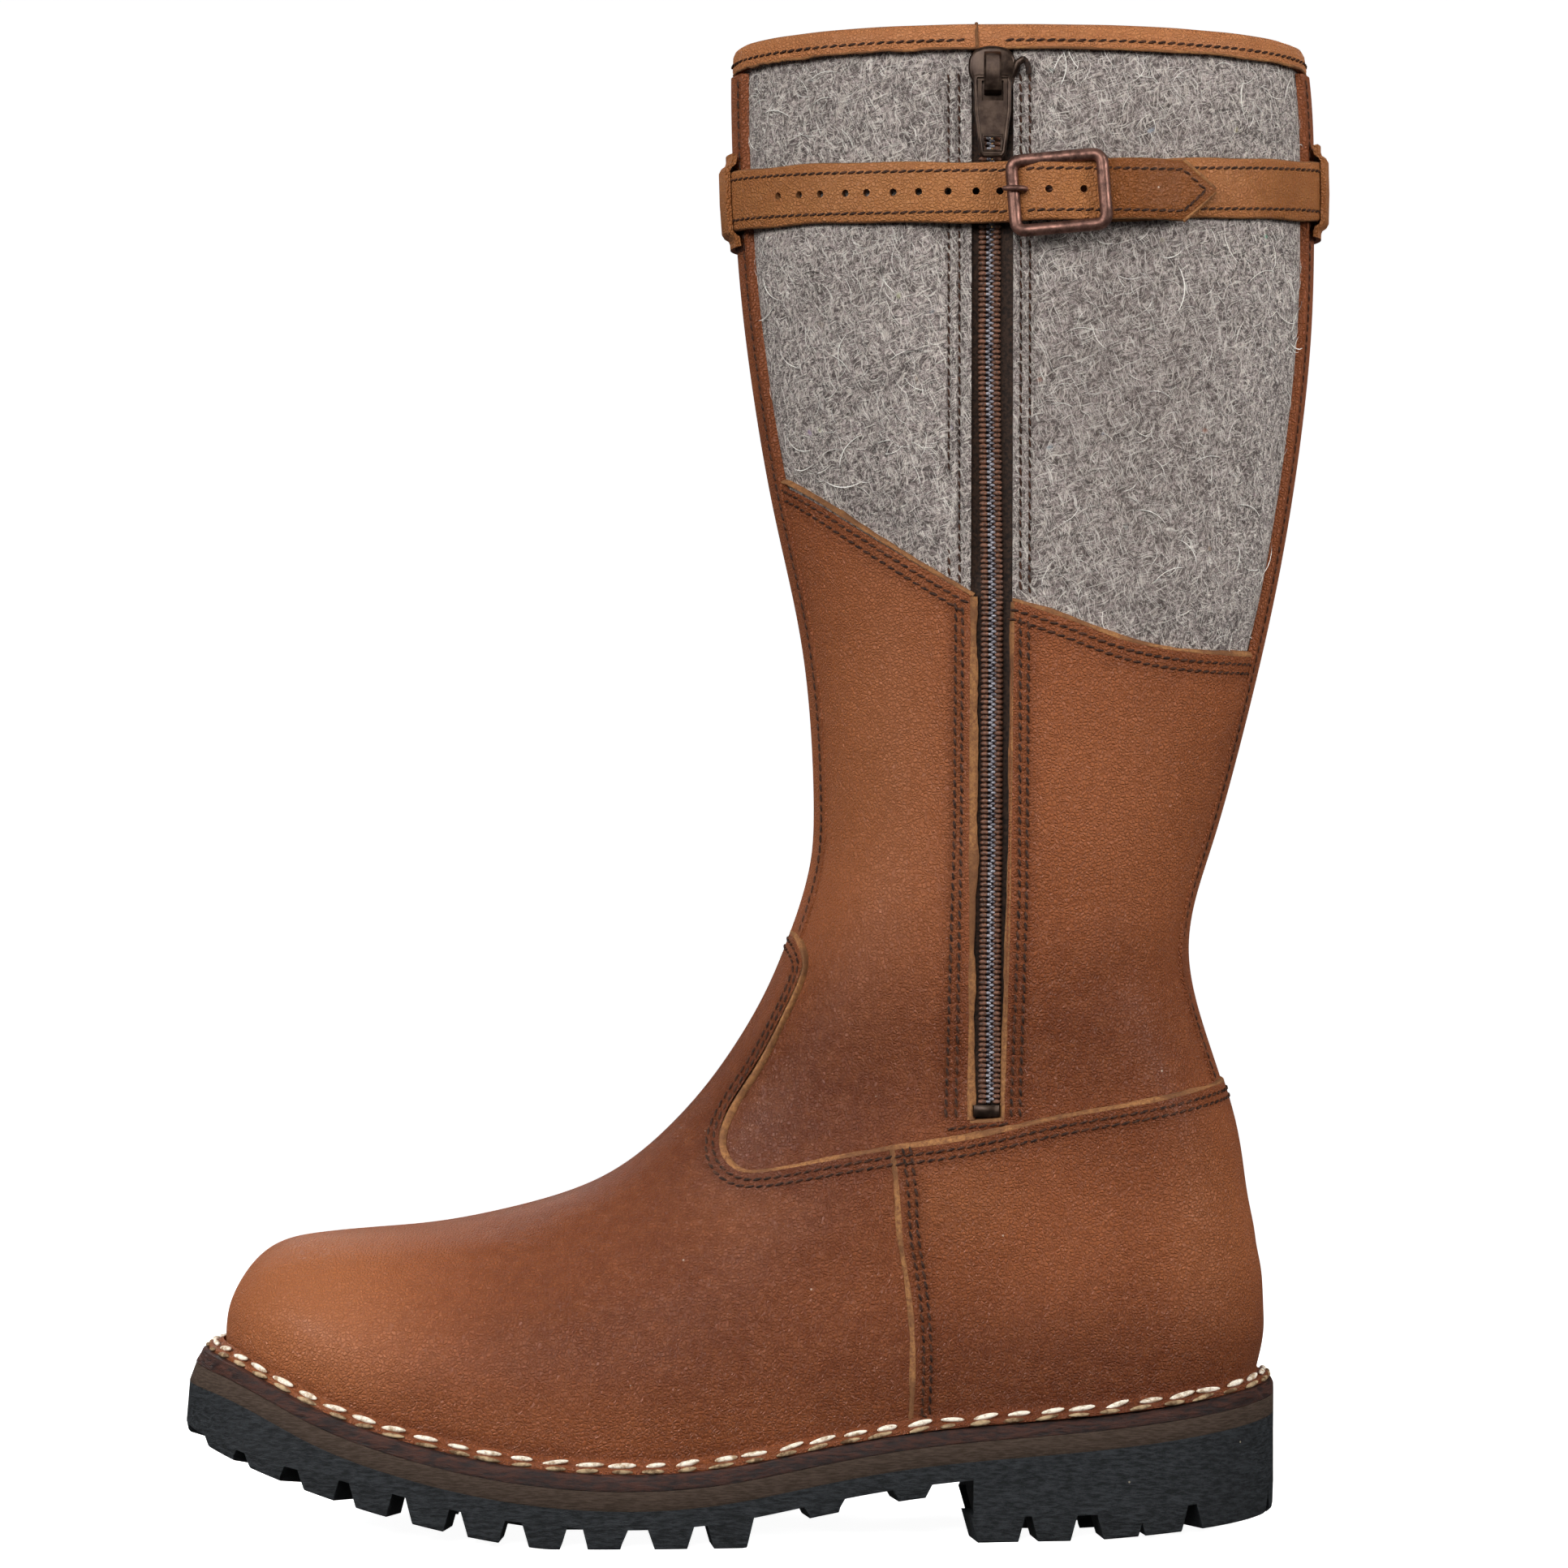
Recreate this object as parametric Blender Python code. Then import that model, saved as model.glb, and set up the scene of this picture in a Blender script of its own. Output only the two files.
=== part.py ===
"""Left hunting boot with a felt shaft, side zip, strap and lugged rubber sole.

The toe points to -X, the outer side to -Y and the collar up. Tables and sizes are in
millimetres, and objects are made in metres.
"""

import math

import bmesh
import bpy
import numpy as np

# Driving sizes of the boot
MM = 0.001
LAST_LENGTH = 294.0
BALL_WIDTH = 95.0
BOOT_HEIGHT = 421.5
HEEL_BACK_X = 143.0
MIDDLE_Y = 2.6
GAP = 0.3

# Thicknesses, measured inwards from the outermost form of the boot
COVER = 3.3
LINING_WALL = 2.5
FOOT_LEATHER = (-COVER + GAP, 0.0)
SHAFT_LEATHER = (-COVER + GAP, -1.6)
STRIP_HALF_WIDTH = 12.0

# Sole sizes
UPPER_GAP = 0.5
WELT_THICK = 3.3
MIDSOLE_THICK = 6.1
OUTSOLE_THICK = 5.0
TOE_SPRING = 27.0
FLAT_FROM_X = -54.0
HEEL_BREAST_X = 62.0
HEEL_FLAT_TO_X = 92.0
HEEL_LIFT = 5.0
HEEL_NOTCH = 8.5

# Zip, strap and buckle sizes
ZIP_X = (61.2, 72.8)
ZIP_FOOT_Z = 116.8
ZIP_TOP_Z = 412.0
STRAP_WIDTH = 17.0
STRAP_THICK = 1.8
HOLE_WIDTH = 2.4

# One row for each section of the last and shaft, from the welt to the collar.
# front and back are percent of the last's length ahead of the heel, their heights and
# those of the back percent of the boot's height, and outer and inner the half widths
# in percent of the ball's width. heel is the rear width as a share of the widest,
# widest where that lies, point the bluntness in front, round that behind, swing the
# toe's turn inwards and arch the inner waist in mm, sag how far the sole's curve shows.
SECTION_COLUMNS = (
    "front front_height back back_height outer inner heel widest point round swing arch sag"
).split()
SECTIONS = {
    "welt line": (100.0, 12.45, 0.0, 10.05, 50.0, 48.5, 0.71, 0.38, 3.0, 10.0, 6.0, 5, 1.0),
    "low wall": (99.9, 14.25, -0.9, 12.55, 52.0, 50.5, 0.71, 0.38, 3.0, 10.0, 6.0, 4, 0.9),
    "toe wall": (98.8, 16.35, -1.0, 14.45, 51.0, 49.5, 0.73, 0.39, 3.0, 10.0, 5.5, 3, 0.7),
    "toe top": (95.6, 18.8, -0.9, 16.15, 46.3, 45.8, 0.80, 0.43, 2.6, 9.0, 5.0, 2, 0.45),
    "toe crown": (90.5, 19.9, -0.7, 17.55, 43.0, 42.5, 0.845, 0.5, 1.3, 8.0, 4.0, 1, 0.2),
    "vamp point": (81.6, 20.2, -0.3, 19.0, 42.1, 41.6, 0.86, 0.5, 1.17, 7.5, 3.0, 0, 0.08),
    "vamp": (72.9, 21.0, 0.0, 20.4, 41.5, 41.2, 0.873, 0.485, 1.2, 7.0, 2.0, 0, 0.0),
    "low instep": (63.4, 23.4, 0.7, 23.0, 41.0, 40.8, 0.885, 0.475, 1.5, 6.0, 1.0, 0, 0.0),
    "instep": (56.3, 27.4, 1.7, 27.3, 40.8, 40.8, 0.905, 0.475, 1.8, 5.0, 0.5, 0, 0.0),
    "high instep": (50.3, 32.75, 4.1, 32.75, 41.2, 41.2, 0.945, 0.49, 2.1, 3.5, 0, 0, 0.0),
    "ankle": (45.7, 38.9, 6.0, 38.7, 42.1, 42.1, 1.0, 0.50, 2.2, 2.6, 0, 0, 0.0),
    "above ankle": (43.3, 43.9, 4.7, 43.9, 43.2, 43.2, 1.0, 0.50, 2.0, 2.2, 0, 0, 0.0),
    "low shaft": (42.7, 48.9, 2.5, 48.9, 44.2, 44.2, 1.0, 0.50, 2.0, 2.0, 0, 0, 0.0),
    "shaft": (43.7, 58.8, -1.1, 58.8, 47.4, 47.4, 1.0, 0.50, 2.0, 2.0, 0, 0, 0.0),
    "low calf": (46.6, 68.7, -3.9, 68.7, 50.5, 50.5, 1.0, 0.50, 2.0, 2.0, 0, 0, 0.0),
    "calf": (49.0, 78.65, -5.7, 78.65, 53.2, 53.2, 1.0, 0.50, 2.0, 2.0, 0, 0, 0.0),
    "strap": (50.2, 86.85, -6.2, 86.85, 54.2, 54.2, 1.0, 0.50, 2.0, 2.0, 0, 0, 0.0),
    "below collar": (50.7, 94.9, -6.1, 94.9, 53.7, 53.7, 1.0, 0.50, 2.0, 2.0, 0, 0, 0.0),
    "collar": (50.7, 100.0, -5.4, 100.0, 52.6, 52.6, 1.0, 0.50, 2.0, 2.0, 0, 0, 0.0),
}

# Height of the welt's top above the floor, along the boot
SOLE_LINE = {
    "x": (-163, -151, -122, -99, -76, -39, -6, 17, 43, 64, 87, 110, 129, 152),
    "top": (51.2, 49.6, 38.0, 30.4, 25.0, 21.0, 22.8, 27.0, 31.2, 33.2, 34.8, 37.0, 39.6, 43.4),
}

# Plan of each sole layer: ends along X, then the columns of a section
PLAN_COLUMNS = "front_x back_x outer inner heel widest point round swing arch".split()
SOLE_PLANS = {
    "welt": (-158.2, 149.2, 54.5, 52.0, 0.69, 0.380, 3.0, 10.0, 6.0, 4.5),
    "midsole": (-160.2, 149.3, 54.8, 52.3, 0.69, 0.383, 3.0, 10.0, 6.0, 4.5),
    "outsole": (-162.4, 149.2, 55.0, 52.5, 0.69, 0.386, 3.0, 10.0, 6.0, 4.5),
}

# Edges of the leather panels, seen from the side: the vamp from its instep tab to the
# counter, the counter's front and top, and the felt's lower edge ahead of and behind the zip
VAMP_EDGE = (
    (-2.0, 174.5), (9.0, 171.2), (13.1, 166.0), (14.3, 161.0), (13.2, 156.5), (9.0, 147.3),
    (0.3, 131.1), (-8.1, 116.7), (-9.1, 110.4), (-7.2, 105.8), (-3.0, 103.0), (2.0, 102.8),
    (11.0, 104.3), (26.1, 107.3), (39.5, 109.7),
)
COUNTER_FRONT = (
    (39.5, 109.7), (40.5, 102.5), (41.9, 83.7), (43.7, 72.2), (45.2, 55.0), (45.0, 40.0), (43.5, 15.0),
)
COUNTER_TOP = (
    (39.5, 109.7), (62.7, 113.0), (84.5, 117.8), (114.8, 122.9), (134.6, 126.8), (165.0, 130.5),
)
FELT_FRONT = ((-30.0, 312.0), (8.4, 296.4), (25.9, 285.6), (43.8, 274.2), (61.5, 263.8))
FELT_REAR = (
    (72.5, 262.6), (89.1, 257.3), (102.6, 252.4), (113.2, 249.8), (135.4, 247.8), (175.0, 247.8),
)

# Middle heights of the strap by its turn round the shaft, and the layer it lies in
STRAP_HEIGHTS = {
    "turn": (-0.25, 0.0, 0.25, 0.5, 0.75, 1.0, 1.25, 1.5),
    "z": (377.0, 377.6, 375.4, 380.2, 377.0, 377.6, 375.4, 380.2),
}
STRAP_LAYERS = {
    "x": (60.0, 70.0, 72.3, 77.0, 80.0, 84.7, 92.0, 140.0),
    "out": (0.3, 0.3, 0.6, 3.7, 4.6, 4.8, 4.6, 4.6),
}
STRAP_START_X = 88.0
STRAP_TIP_X = 129.5
STRAP_HOLES_X = (8.1, 13.9, 19.7, 26.6, 32.4, 39.8, 46.9, 54.9, 62.5, 69.0, 82.0, 91.2)
PRONG_HOLE_X = 75.5

# Lugs along the sole's edge: middle along X, and length at the floor
FOREFOOT_LUGS = (
    (-150.0, 8.0), (-136.4, 9.0), (-120.5, 8.5), (-105.5, 8.5), (-89.5, 8.5), (-74.0, 8.5),
    (-57.0, 8.5), (-40.5, 9.0), (-22.0, 9.0), (-5.5, 9.0),
)
WAIST_LUGS = ((20.5, 8.0), (45.0, 7.5))
HEEL_LUGS = ((70.5, 10.0), (85.5, 9.0), (103.5, 9.0), (117.5, 8.0), (132.0, 7.5))
LUG_DEPTH = 15.0

COLOURS = {
    "leather": ((0.24, 0.082, 0.030), 0.5, 0.0),
    "strap_leather": ((0.30, 0.115, 0.040), 0.5, 0.0),
    "felt": ((0.225, 0.205, 0.190), 0.95, 0.0),
    "welt_leather": ((0.055, 0.022, 0.017), 0.45, 0.0),
    "midsole": ((0.062, 0.039, 0.026), 0.7, 0.0),
    "rubber": ((0.019, 0.025, 0.028), 0.6, 0.0),
    "zip_fabric": ((0.023, 0.013, 0.009), 0.8, 0.0),
    "zip_metal": ((0.045, 0.031, 0.023), 0.4, 0.9),
    "copper": ((0.155, 0.070, 0.048), 0.4, 0.9),
    "insole_leather": ((0.35, 0.20, 0.10), 0.7, 0.0),
}


def spline(places, values):
    """A smooth curve through the points, as a function of the place."""
    places = np.asarray(places, float)
    values = np.asarray(values, float)
    gaps = np.diff(places)
    count = len(places)
    matrix = np.eye(count)
    right = np.zeros(count)
    for i in range(1, count - 1):
        matrix[i, i - 1 : i + 2] = gaps[i - 1], 2 * (gaps[i - 1] + gaps[i]), gaps[i]
        slopes = np.diff(values[i - 1 : i + 2]) / gaps[i - 1 : i + 1]
        right[i] = 6 * (slopes[1] - slopes[0])
    bends = np.linalg.solve(matrix, right)

    def at(place):
        place = np.asarray(place, float)
        i = np.clip(np.searchsorted(places, place) - 1, 0, count - 2)
        a = (places[i + 1] - place) / gaps[i]
        b = 1 - a
        curve = ((a**3 - a) * bends[i] + (b**3 - b) * bends[i + 1]) * gaps[i] ** 2 / 6
        return a * values[i] + b * values[i + 1] + curve

    return at


def smooth_line(points, pieces=2):
    """A polyline that rounds the corners between the points."""
    points = np.asarray(points, float)
    lengths = np.r_[0, np.cumsum(np.linalg.norm(np.diff(points, axis=0), axis=1))]
    places = np.interp(np.arange(0, len(points) - 1 + 1e-9, 1 / pieces), range(len(points)), lengths)
    return np.stack([spline(lengths, points[:, k])(places) for k in (0, 1)], -1)


def shifted(line, distance):
    """The polyline moved to its left by a distance."""
    along = np.gradient(line, axis=0)
    along /= np.linalg.norm(along, axis=1, keepdims=True)
    return line + distance * np.stack([-along[:, 1], along[:, 0]], -1)


ROWS = np.array(list(SECTIONS.values()), float)
LEVELS = dict(zip(SECTIONS, range(len(SECTIONS))))
TOP = len(SECTIONS) - 1
SECTION = {name: spline(range(TOP + 1), ROWS[:, i]) for i, name in enumerate(SECTION_COLUMNS)}
sole_top = spline(SOLE_LINE["x"], SOLE_LINE["top"])


def plan(turn, row):
    """Share of the length and sideways place of an outline at a turn: 0 toe, 0.5 heel."""
    outer_side = turn <= 0.5
    angle = np.where(outer_side, turn, 1 - turn) * 2 * math.pi
    ahead = np.clip(1 - np.cos(angle), 0, 1)
    behind = np.clip(-np.cos(angle), 0, 1)
    in_front = angle < math.pi / 2
    fore = row["point"] * ahead * (1 - ahead) ** 2 + ahead**2 * (3 - 2 * ahead)
    rear = 1 - behind ** row["round"]
    ease = np.clip(behind / 0.8, 0, 1)
    taper = 1 + (row["heel"] - 1) * ease**2 * (3 - 2 * ease)
    waist = np.sin(math.pi * np.clip(behind / 0.9, 0, 1)) ** 2
    half = np.where(outer_side, row["outer"], row["inner"])
    half = half * np.sqrt(np.where(in_front, fore, rear)) * np.where(in_front, 1, taper)
    half = half - np.where(outer_side, 0, row["arch"] * waist)
    sideways = np.where(outer_side, -half, half) + row["swing"] * (1 - ahead) ** 2 * in_front
    share = np.where(in_front, row["widest"] * ahead, row["widest"] + (1 - row["widest"]) * behind)
    return share, sideways


def form(turn, level):
    """A point of the boot's outermost form: turn runs round it, level up its sections."""
    turn, level = np.broadcast_arrays(np.asarray(turn, float) % 1, np.asarray(level, float))
    row = {name: curve(level) for name, curve in SECTION.items()}
    for name in ("outer", "inner"):
        row[name] = row[name] * BALL_WIDTH / 100
    share, y = plan(turn, row)
    x = HEEL_BACK_X - LAST_LENGTH / 100 * (row["front"] + (row["back"] - row["front"]) * share)
    z = BOOT_HEIGHT / 100 * (row["front_height"] + (row["back_height"] - row["front_height"]) * share)
    along = (HEEL_BACK_X - x) / LAST_LENGTH
    low = BOOT_HEIGHT / 100 * (ROWS[0, 3] + (ROWS[0, 1] - ROWS[0, 3]) * along)
    return np.stack([x, y, z + row["sag"] * (sole_top(x) - low)], -1)


def skin(turn, level, out):
    """A point moved outwards from the form along its normal."""
    step = 0.002
    turn, level, out = np.broadcast_arrays(
        np.asarray(turn, float), np.asarray(level, float), np.asarray(out, float)
    )
    around = form(turn + step, level) - form(turn - step, level)
    upward = form(turn, np.minimum(level + step, TOP)) - form(turn, np.maximum(level - step, 0))
    normal = np.cross(around, upward)
    normal /= np.linalg.norm(normal, axis=-1, keepdims=True)
    return form(turn, level) + normal * out[..., None]


def turn_at(x, level):
    """The turn on the outer side where the form reaches x."""
    turns = np.linspace(0, 0.5, 401)
    return np.interp(x, form(turns, level)[:, 0], turns)


def level_at(z, turn):
    """The level where the form reaches the height z."""
    levels = np.linspace(0, TOP, 721)
    return np.interp(z, form(turn, levels)[:, 2], levels)


def sole_point(name, turn):
    """A point in plan on the edge of a sole layer."""
    row = dict(zip(PLAN_COLUMNS, SOLE_PLANS[name]))
    share, y = plan(np.asarray(turn, float) % 1, row)
    return row["front_x"] + (row["back_x"] - row["front_x"]) * share, y


def sole_turn(name, x):
    """The turn on the outer side where a sole layer's edge reaches x."""
    turns = np.linspace(0, 0.5, 401)
    return np.interp(x, sole_point(name, turns)[0], turns)


def forefoot_floor(x):
    """Height of the lugs' ends under the forefoot and waist."""
    reach = FLAT_FROM_X - SOLE_PLANS["outsole"][0]
    rise = TOE_SPRING * (np.clip(FLAT_FROM_X - x, 0, None) / reach) ** 1.4
    return rise + 0.22 * np.clip(np.asarray(x) + 2, 0, None)


def heel_floor(x):
    """Height of the lugs' ends under the heel, which lifts a little behind."""
    reach = SOLE_PLANS["outsole"][1] - HEEL_FLAT_TO_X
    return HEEL_LIFT * (np.clip(x - HEEL_FLAT_TO_X, 0, None) / reach) ** 1.3


def material(name):
    found = bpy.data.materials.get(name)
    if found:
        return found
    colour, rough, metal = COLOURS[name]
    made = bpy.data.materials.new(name)
    made.use_nodes = True
    shader = made.node_tree.nodes["Principled BSDF"]
    shader.inputs["Base Color"].default_value = (*colour, 1)
    shader.inputs["Roughness"].default_value = rough
    shader.inputs["Metallic"].default_value = metal
    return made


def add_solid(name, points, faces, finish=None, origin=(0, 0, 0)):
    """An object from points in millimetres. One with no finish is a cutter."""
    mesh = bpy.data.meshes.new(name)
    origin = np.asarray(origin, float)
    points = (np.asarray(points, float).reshape(-1, 3) - origin) * MM
    mesh.from_pydata(points.tolist(), [], [list(map(int, face)) for face in faces])
    shape = bmesh.new()
    shape.from_mesh(mesh)
    bmesh.ops.remove_doubles(shape, verts=shape.verts, dist=0.002 * MM)
    bmesh.ops.recalc_face_normals(shape, faces=shape.faces)
    shape.to_mesh(mesh)
    shape.free()
    solid = bpy.data.objects.new(name, mesh)
    bpy.context.scene.collection.objects.link(solid)
    solid.location = (origin + (0, MIDDLE_Y, 0)) * MM
    if finish:
        mesh.materials.append(material(finish))
        mesh.shade_smooth()
    else:
        solid.hide_render = True
        solid.display_type = "WIRE"
    return solid


def sweep(name, sections, finish=None, closed_path=False, origin=(0, 0, 0)):
    """A solid from closed cross-sections along a path, as an array of points."""
    sections = np.asarray(sections, float)
    stations, around = sections.shape[:2]
    index = np.arange(stations * around).reshape(stations, around)
    faces = []
    for i in range(stations if closed_path else stations - 1):
        here, there = index[i], index[(i + 1) % stations]
        for k in range(around):
            faces.append((here[k], here[k - 1], there[k - 1], there[k]))
    if not closed_path:
        faces += [index[0], index[-1][::-1]]
    return add_solid(name, sections, faces, finish, origin)


def wall(name, turns, levels, low, high, finish=None):
    """A shell round the whole boot between two moves from its form.

    Its facets are split the same way on both faces, so that shells lie parallel.
    """
    turns = np.asarray(turns)[:, None]
    levels = np.asarray(levels)[None]
    outside = skin(turns, levels, high)
    inside = skin(turns, levels, low)
    count = levels.shape[1]
    index = np.arange(turns.shape[0] * count * 2).reshape(turns.shape[0], 2 * count)
    faces = []
    for i in range(turns.shape[0]):
        here, there = index[i - 1], index[i]
        for k in range(2 * count):
            a, b, c, d = here[k - 1], here[k], there[k], there[k - 1]
            faces += [(a, b, c), (a, c, d)] if k < count else [(a, b, d), (b, c, d)]
    points = np.concatenate([outside, inside[:, ::-1]], axis=1)
    return add_solid(name, points, faces, finish)


def patch(name, turns, levels, low, high, finish):
    """A piece of the form between two moves from it, on a grid of turns and levels."""
    outside = skin(turns, levels, high)
    inside = skin(turns, levels, low)
    rows, columns = outside.shape[:2]
    ring = [(0, k) for k in range(columns)] + [(i, columns - 1) for i in range(1, rows)]
    ring += [(rows - 1, k) for k in range(columns - 2, -1, -1)] + [(i, 0) for i in range(rows - 2, 0, -1)]
    index = np.arange(rows * columns).reshape(rows, columns)
    faces = []
    for i in range(rows - 1):
        for k in range(columns - 1):
            quad = (index[i, k], index[i, k + 1], index[i + 1, k + 1], index[i + 1, k])
            faces.append(quad)
            faces.append(tuple(corner + rows * columns for corner in quad[::-1]))
    for first, second in zip(ring, ring[1:] + ring[:1]):
        a, b = index[first], index[second]
        faces.append((b, a, a + rows * columns, b + rows * columns))
    return add_solid(name, np.concatenate([outside.reshape(-1, 3), inside.reshape(-1, 3)]), faces, finish)


def prism(name, outline, y_from, y_to):
    """A cutter from an outline seen from the side, run across the boot."""
    outline = np.asarray(outline, float)
    sections = [np.insert(outline, 1, y, axis=1) for y in (y_from, y_to)]
    return sweep(name, sections)


def boolean(solid, operation, cutter):
    step = solid.modifiers.new(cutter.name, "BOOLEAN")
    step.operation = operation
    step.solver = "EXACT"
    step.object = cutter
    return solid


def block(name, low, high, finish=None):
    """A box between two corners."""
    (x0, y0, z0), (x1, y1, z1) = low, high
    ring = ((x0, y0), (x1, y0), (x1, y1), (x0, y1))
    return sweep(name, [[(x, y, z) for x, y in ring] for z in (z0, z1)], finish)


def plate(name, layer, turns, top, bottom, finish):
    """A sole layer between two heights, bridged from its outer to its inner edge."""
    outer = sole_point(layer, np.asarray(turns))
    inner = sole_point(layer, 1 - np.asarray(turns))
    sections = []
    for x, y_outer, y_inner in zip(outer[0], outer[1], inner[1]):
        if abs(y_inner - y_outer) < 0.01:
            continue
        sections.append(
            [(x, y_outer, top(x)), (x, y_inner, top(x)), (x, y_inner, bottom(x)), (x, y_outer, bottom(x))]
        )
    return sweep(name, sections, finish)


def lug(points, faces, layer, turns, depth, top, floor, flare):
    """Adds a tapered block along a sole layer's edge, from inside the sole to the floor."""
    first = len(points)
    step = 0.002
    for turn_base, turn_floor in ((turns[0] - flare, turns[0]), (turns[1] + flare, turns[1])):
        for turn, height, inset in ((turn_base, top, 0.2), (turn_floor, floor, 0.9)):
            here = np.array(sole_point(layer, turn))
            along = np.array(sole_point(layer, turn + step)) - np.array(sole_point(layer, turn - step))
            inward = np.array([-along[1], along[0]]) / np.linalg.norm(along)
            for reach in (inset, depth - inset):
                x, y = here + inward * reach
                points.append((x, y, height(x)))
    last = first + 4
    for k, m in ((0, 1), (1, 3), (3, 2), (2, 0)):
        faces.append((first + k, last + k, last + m, first + m))
    faces += [(first, first + 1, first + 3, first + 2), (last + 2, last + 3, last + 1, last)]


def edge_lugs(name, table, top, floor, more=()):
    """All lugs along both edges of the outsole or heel, as one cutter object to join."""
    points, faces = [], []
    for middle, length in table:
        turns = [float(sole_turn("outsole", middle + side * length / 2)) for side in (-1, 1)]
        flare = 0.16 * (turns[1] - turns[0])
        for pair in (turns, [1 - turns[1], 1 - turns[0]]):
            lug(points, faces, "outsole", pair, LUG_DEPTH, top, floor, flare)
    for turns, depth in more:
        lug(points, faces, "outsole", turns, depth, top, floor, 0.004)
    return add_solid(name, points, faces)


def studs(name, places, size, top, floor):
    """Lugs in the middle of the tread."""
    points, faces = [], []
    for x, y in places:
        first = len(points)
        for height, grow in ((top, 1.0), (floor, 0.8)):
            for side_x, side_y in ((-1, -1), (1, -1), (1, 1), (-1, 1)):
                place = x + side_x * size[0] / 2 * grow
                points.append((place, y + side_y * size[1] / 2 * grow, height(place)))
        faces += [tuple(first + k for k in range(4)), tuple(first + 7 - k for k in range(4))]
        faces += [(first + k, first + (k + 1) % 4, first + 4 + (k + 1) % 4, first + 4 + k) for k in range(4)]
    return add_solid(name, points, faces)


def rounded(width, height, radius, corner=3):
    """Points round a rectangle with rounded corners, about its middle."""
    points = []
    for k, (sx, sz) in enumerate(((1, 1), (-1, 1), (-1, -1), (1, -1))):
        for angle in np.linspace(0, math.pi / 2, corner) + k * math.pi / 2:
            points.append(
                (
                    sx * (width / 2 - radius) + radius * math.cos(angle),
                    sz * (height / 2 - radius) + radius * math.sin(angle),
                )
            )
    return np.array(points)


def near_y(x, z, out):
    """Y of the outer side at a place seen from the side, moved outwards."""
    level = level_at(z, turn_at(x, LEVELS["strap"]))
    return form(turn_at(x, level), level)[1] - out


def build_sole():
    turns = np.linspace(0, 0.5, 25)
    welt_foot = UPPER_GAP + WELT_THICK
    mid_top = welt_foot + GAP
    mid_foot = mid_top + MIDSOLE_THICK
    out_top = mid_foot + GAP
    out_foot = out_top + OUTSOLE_THICK

    def under(depth):
        return lambda x: sole_top(x) - depth

    plate("welt", "welt", turns, under(UPPER_GAP), under(welt_foot), "welt_leather")
    plate("midsole", "midsole", turns, under(mid_top), under(mid_foot), "midsole")
    base_foot = under(out_foot)
    inside_base = under(out_foot - 1.5)
    outsole = plate("outsole", "outsole", turns, under(out_top), base_foot, "rubber")
    toe_lug = ((-0.022, 0.022), 13.0)
    boolean(outsole, "UNION", edge_lugs("forefoot_lugs", FOREFOOT_LUGS, inside_base, forefoot_floor, [toe_lug]))
    boolean(outsole, "UNION", edge_lugs("waist_lugs", WAIST_LUGS, inside_base, under(out_foot + 3.5)))
    middle = [(x, y) for x in (-128, -108, -88, -68, -48, -28, -8) for y in (-10.0, 13.0)]
    boolean(outsole, "UNION", studs("forefoot_studs", middle, (12.0, 13.0), inside_base, forefoot_floor))

    heel_turns = np.linspace(float(sole_turn("outsole", HEEL_BREAST_X)), 0.5, 16)

    def heel_foot(x):
        return heel_floor(x) + HEEL_NOTCH

    def inside_heel(x):
        return heel_foot(x) + 1.5

    heel = plate("heel", "outsole", heel_turns, under(out_foot + GAP), heel_foot, "rubber")
    back_lug = ((0.478, 0.522), 12.0)
    boolean(heel, "UNION", edge_lugs("heel_lugs", HEEL_LUGS, inside_heel, heel_floor, [back_lug]))
    middle = [(x, y) for x in (76, 98, 120) for y in (-8.0, 8.0)]
    boolean(heel, "UNION", studs("heel_studs", middle, (12.0, 10.0), inside_heel, heel_floor))


# Turns and levels shared by the upper and what covers it, so that their facets lie parallel
TURNS = np.arange(30) / 30
RISE = np.array([0, 0.6, 1.3, 2, 2.6, 3.2, 4, 5, 6, 7, 7.7, 8.4, 9.2, 10, 11, 12, 13, 14, 15, 16, 17, 17.85])


def rise(low, high):
    """The shared levels from one to another."""
    return RISE[(RISE >= low) & (RISE <= high)]


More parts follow.
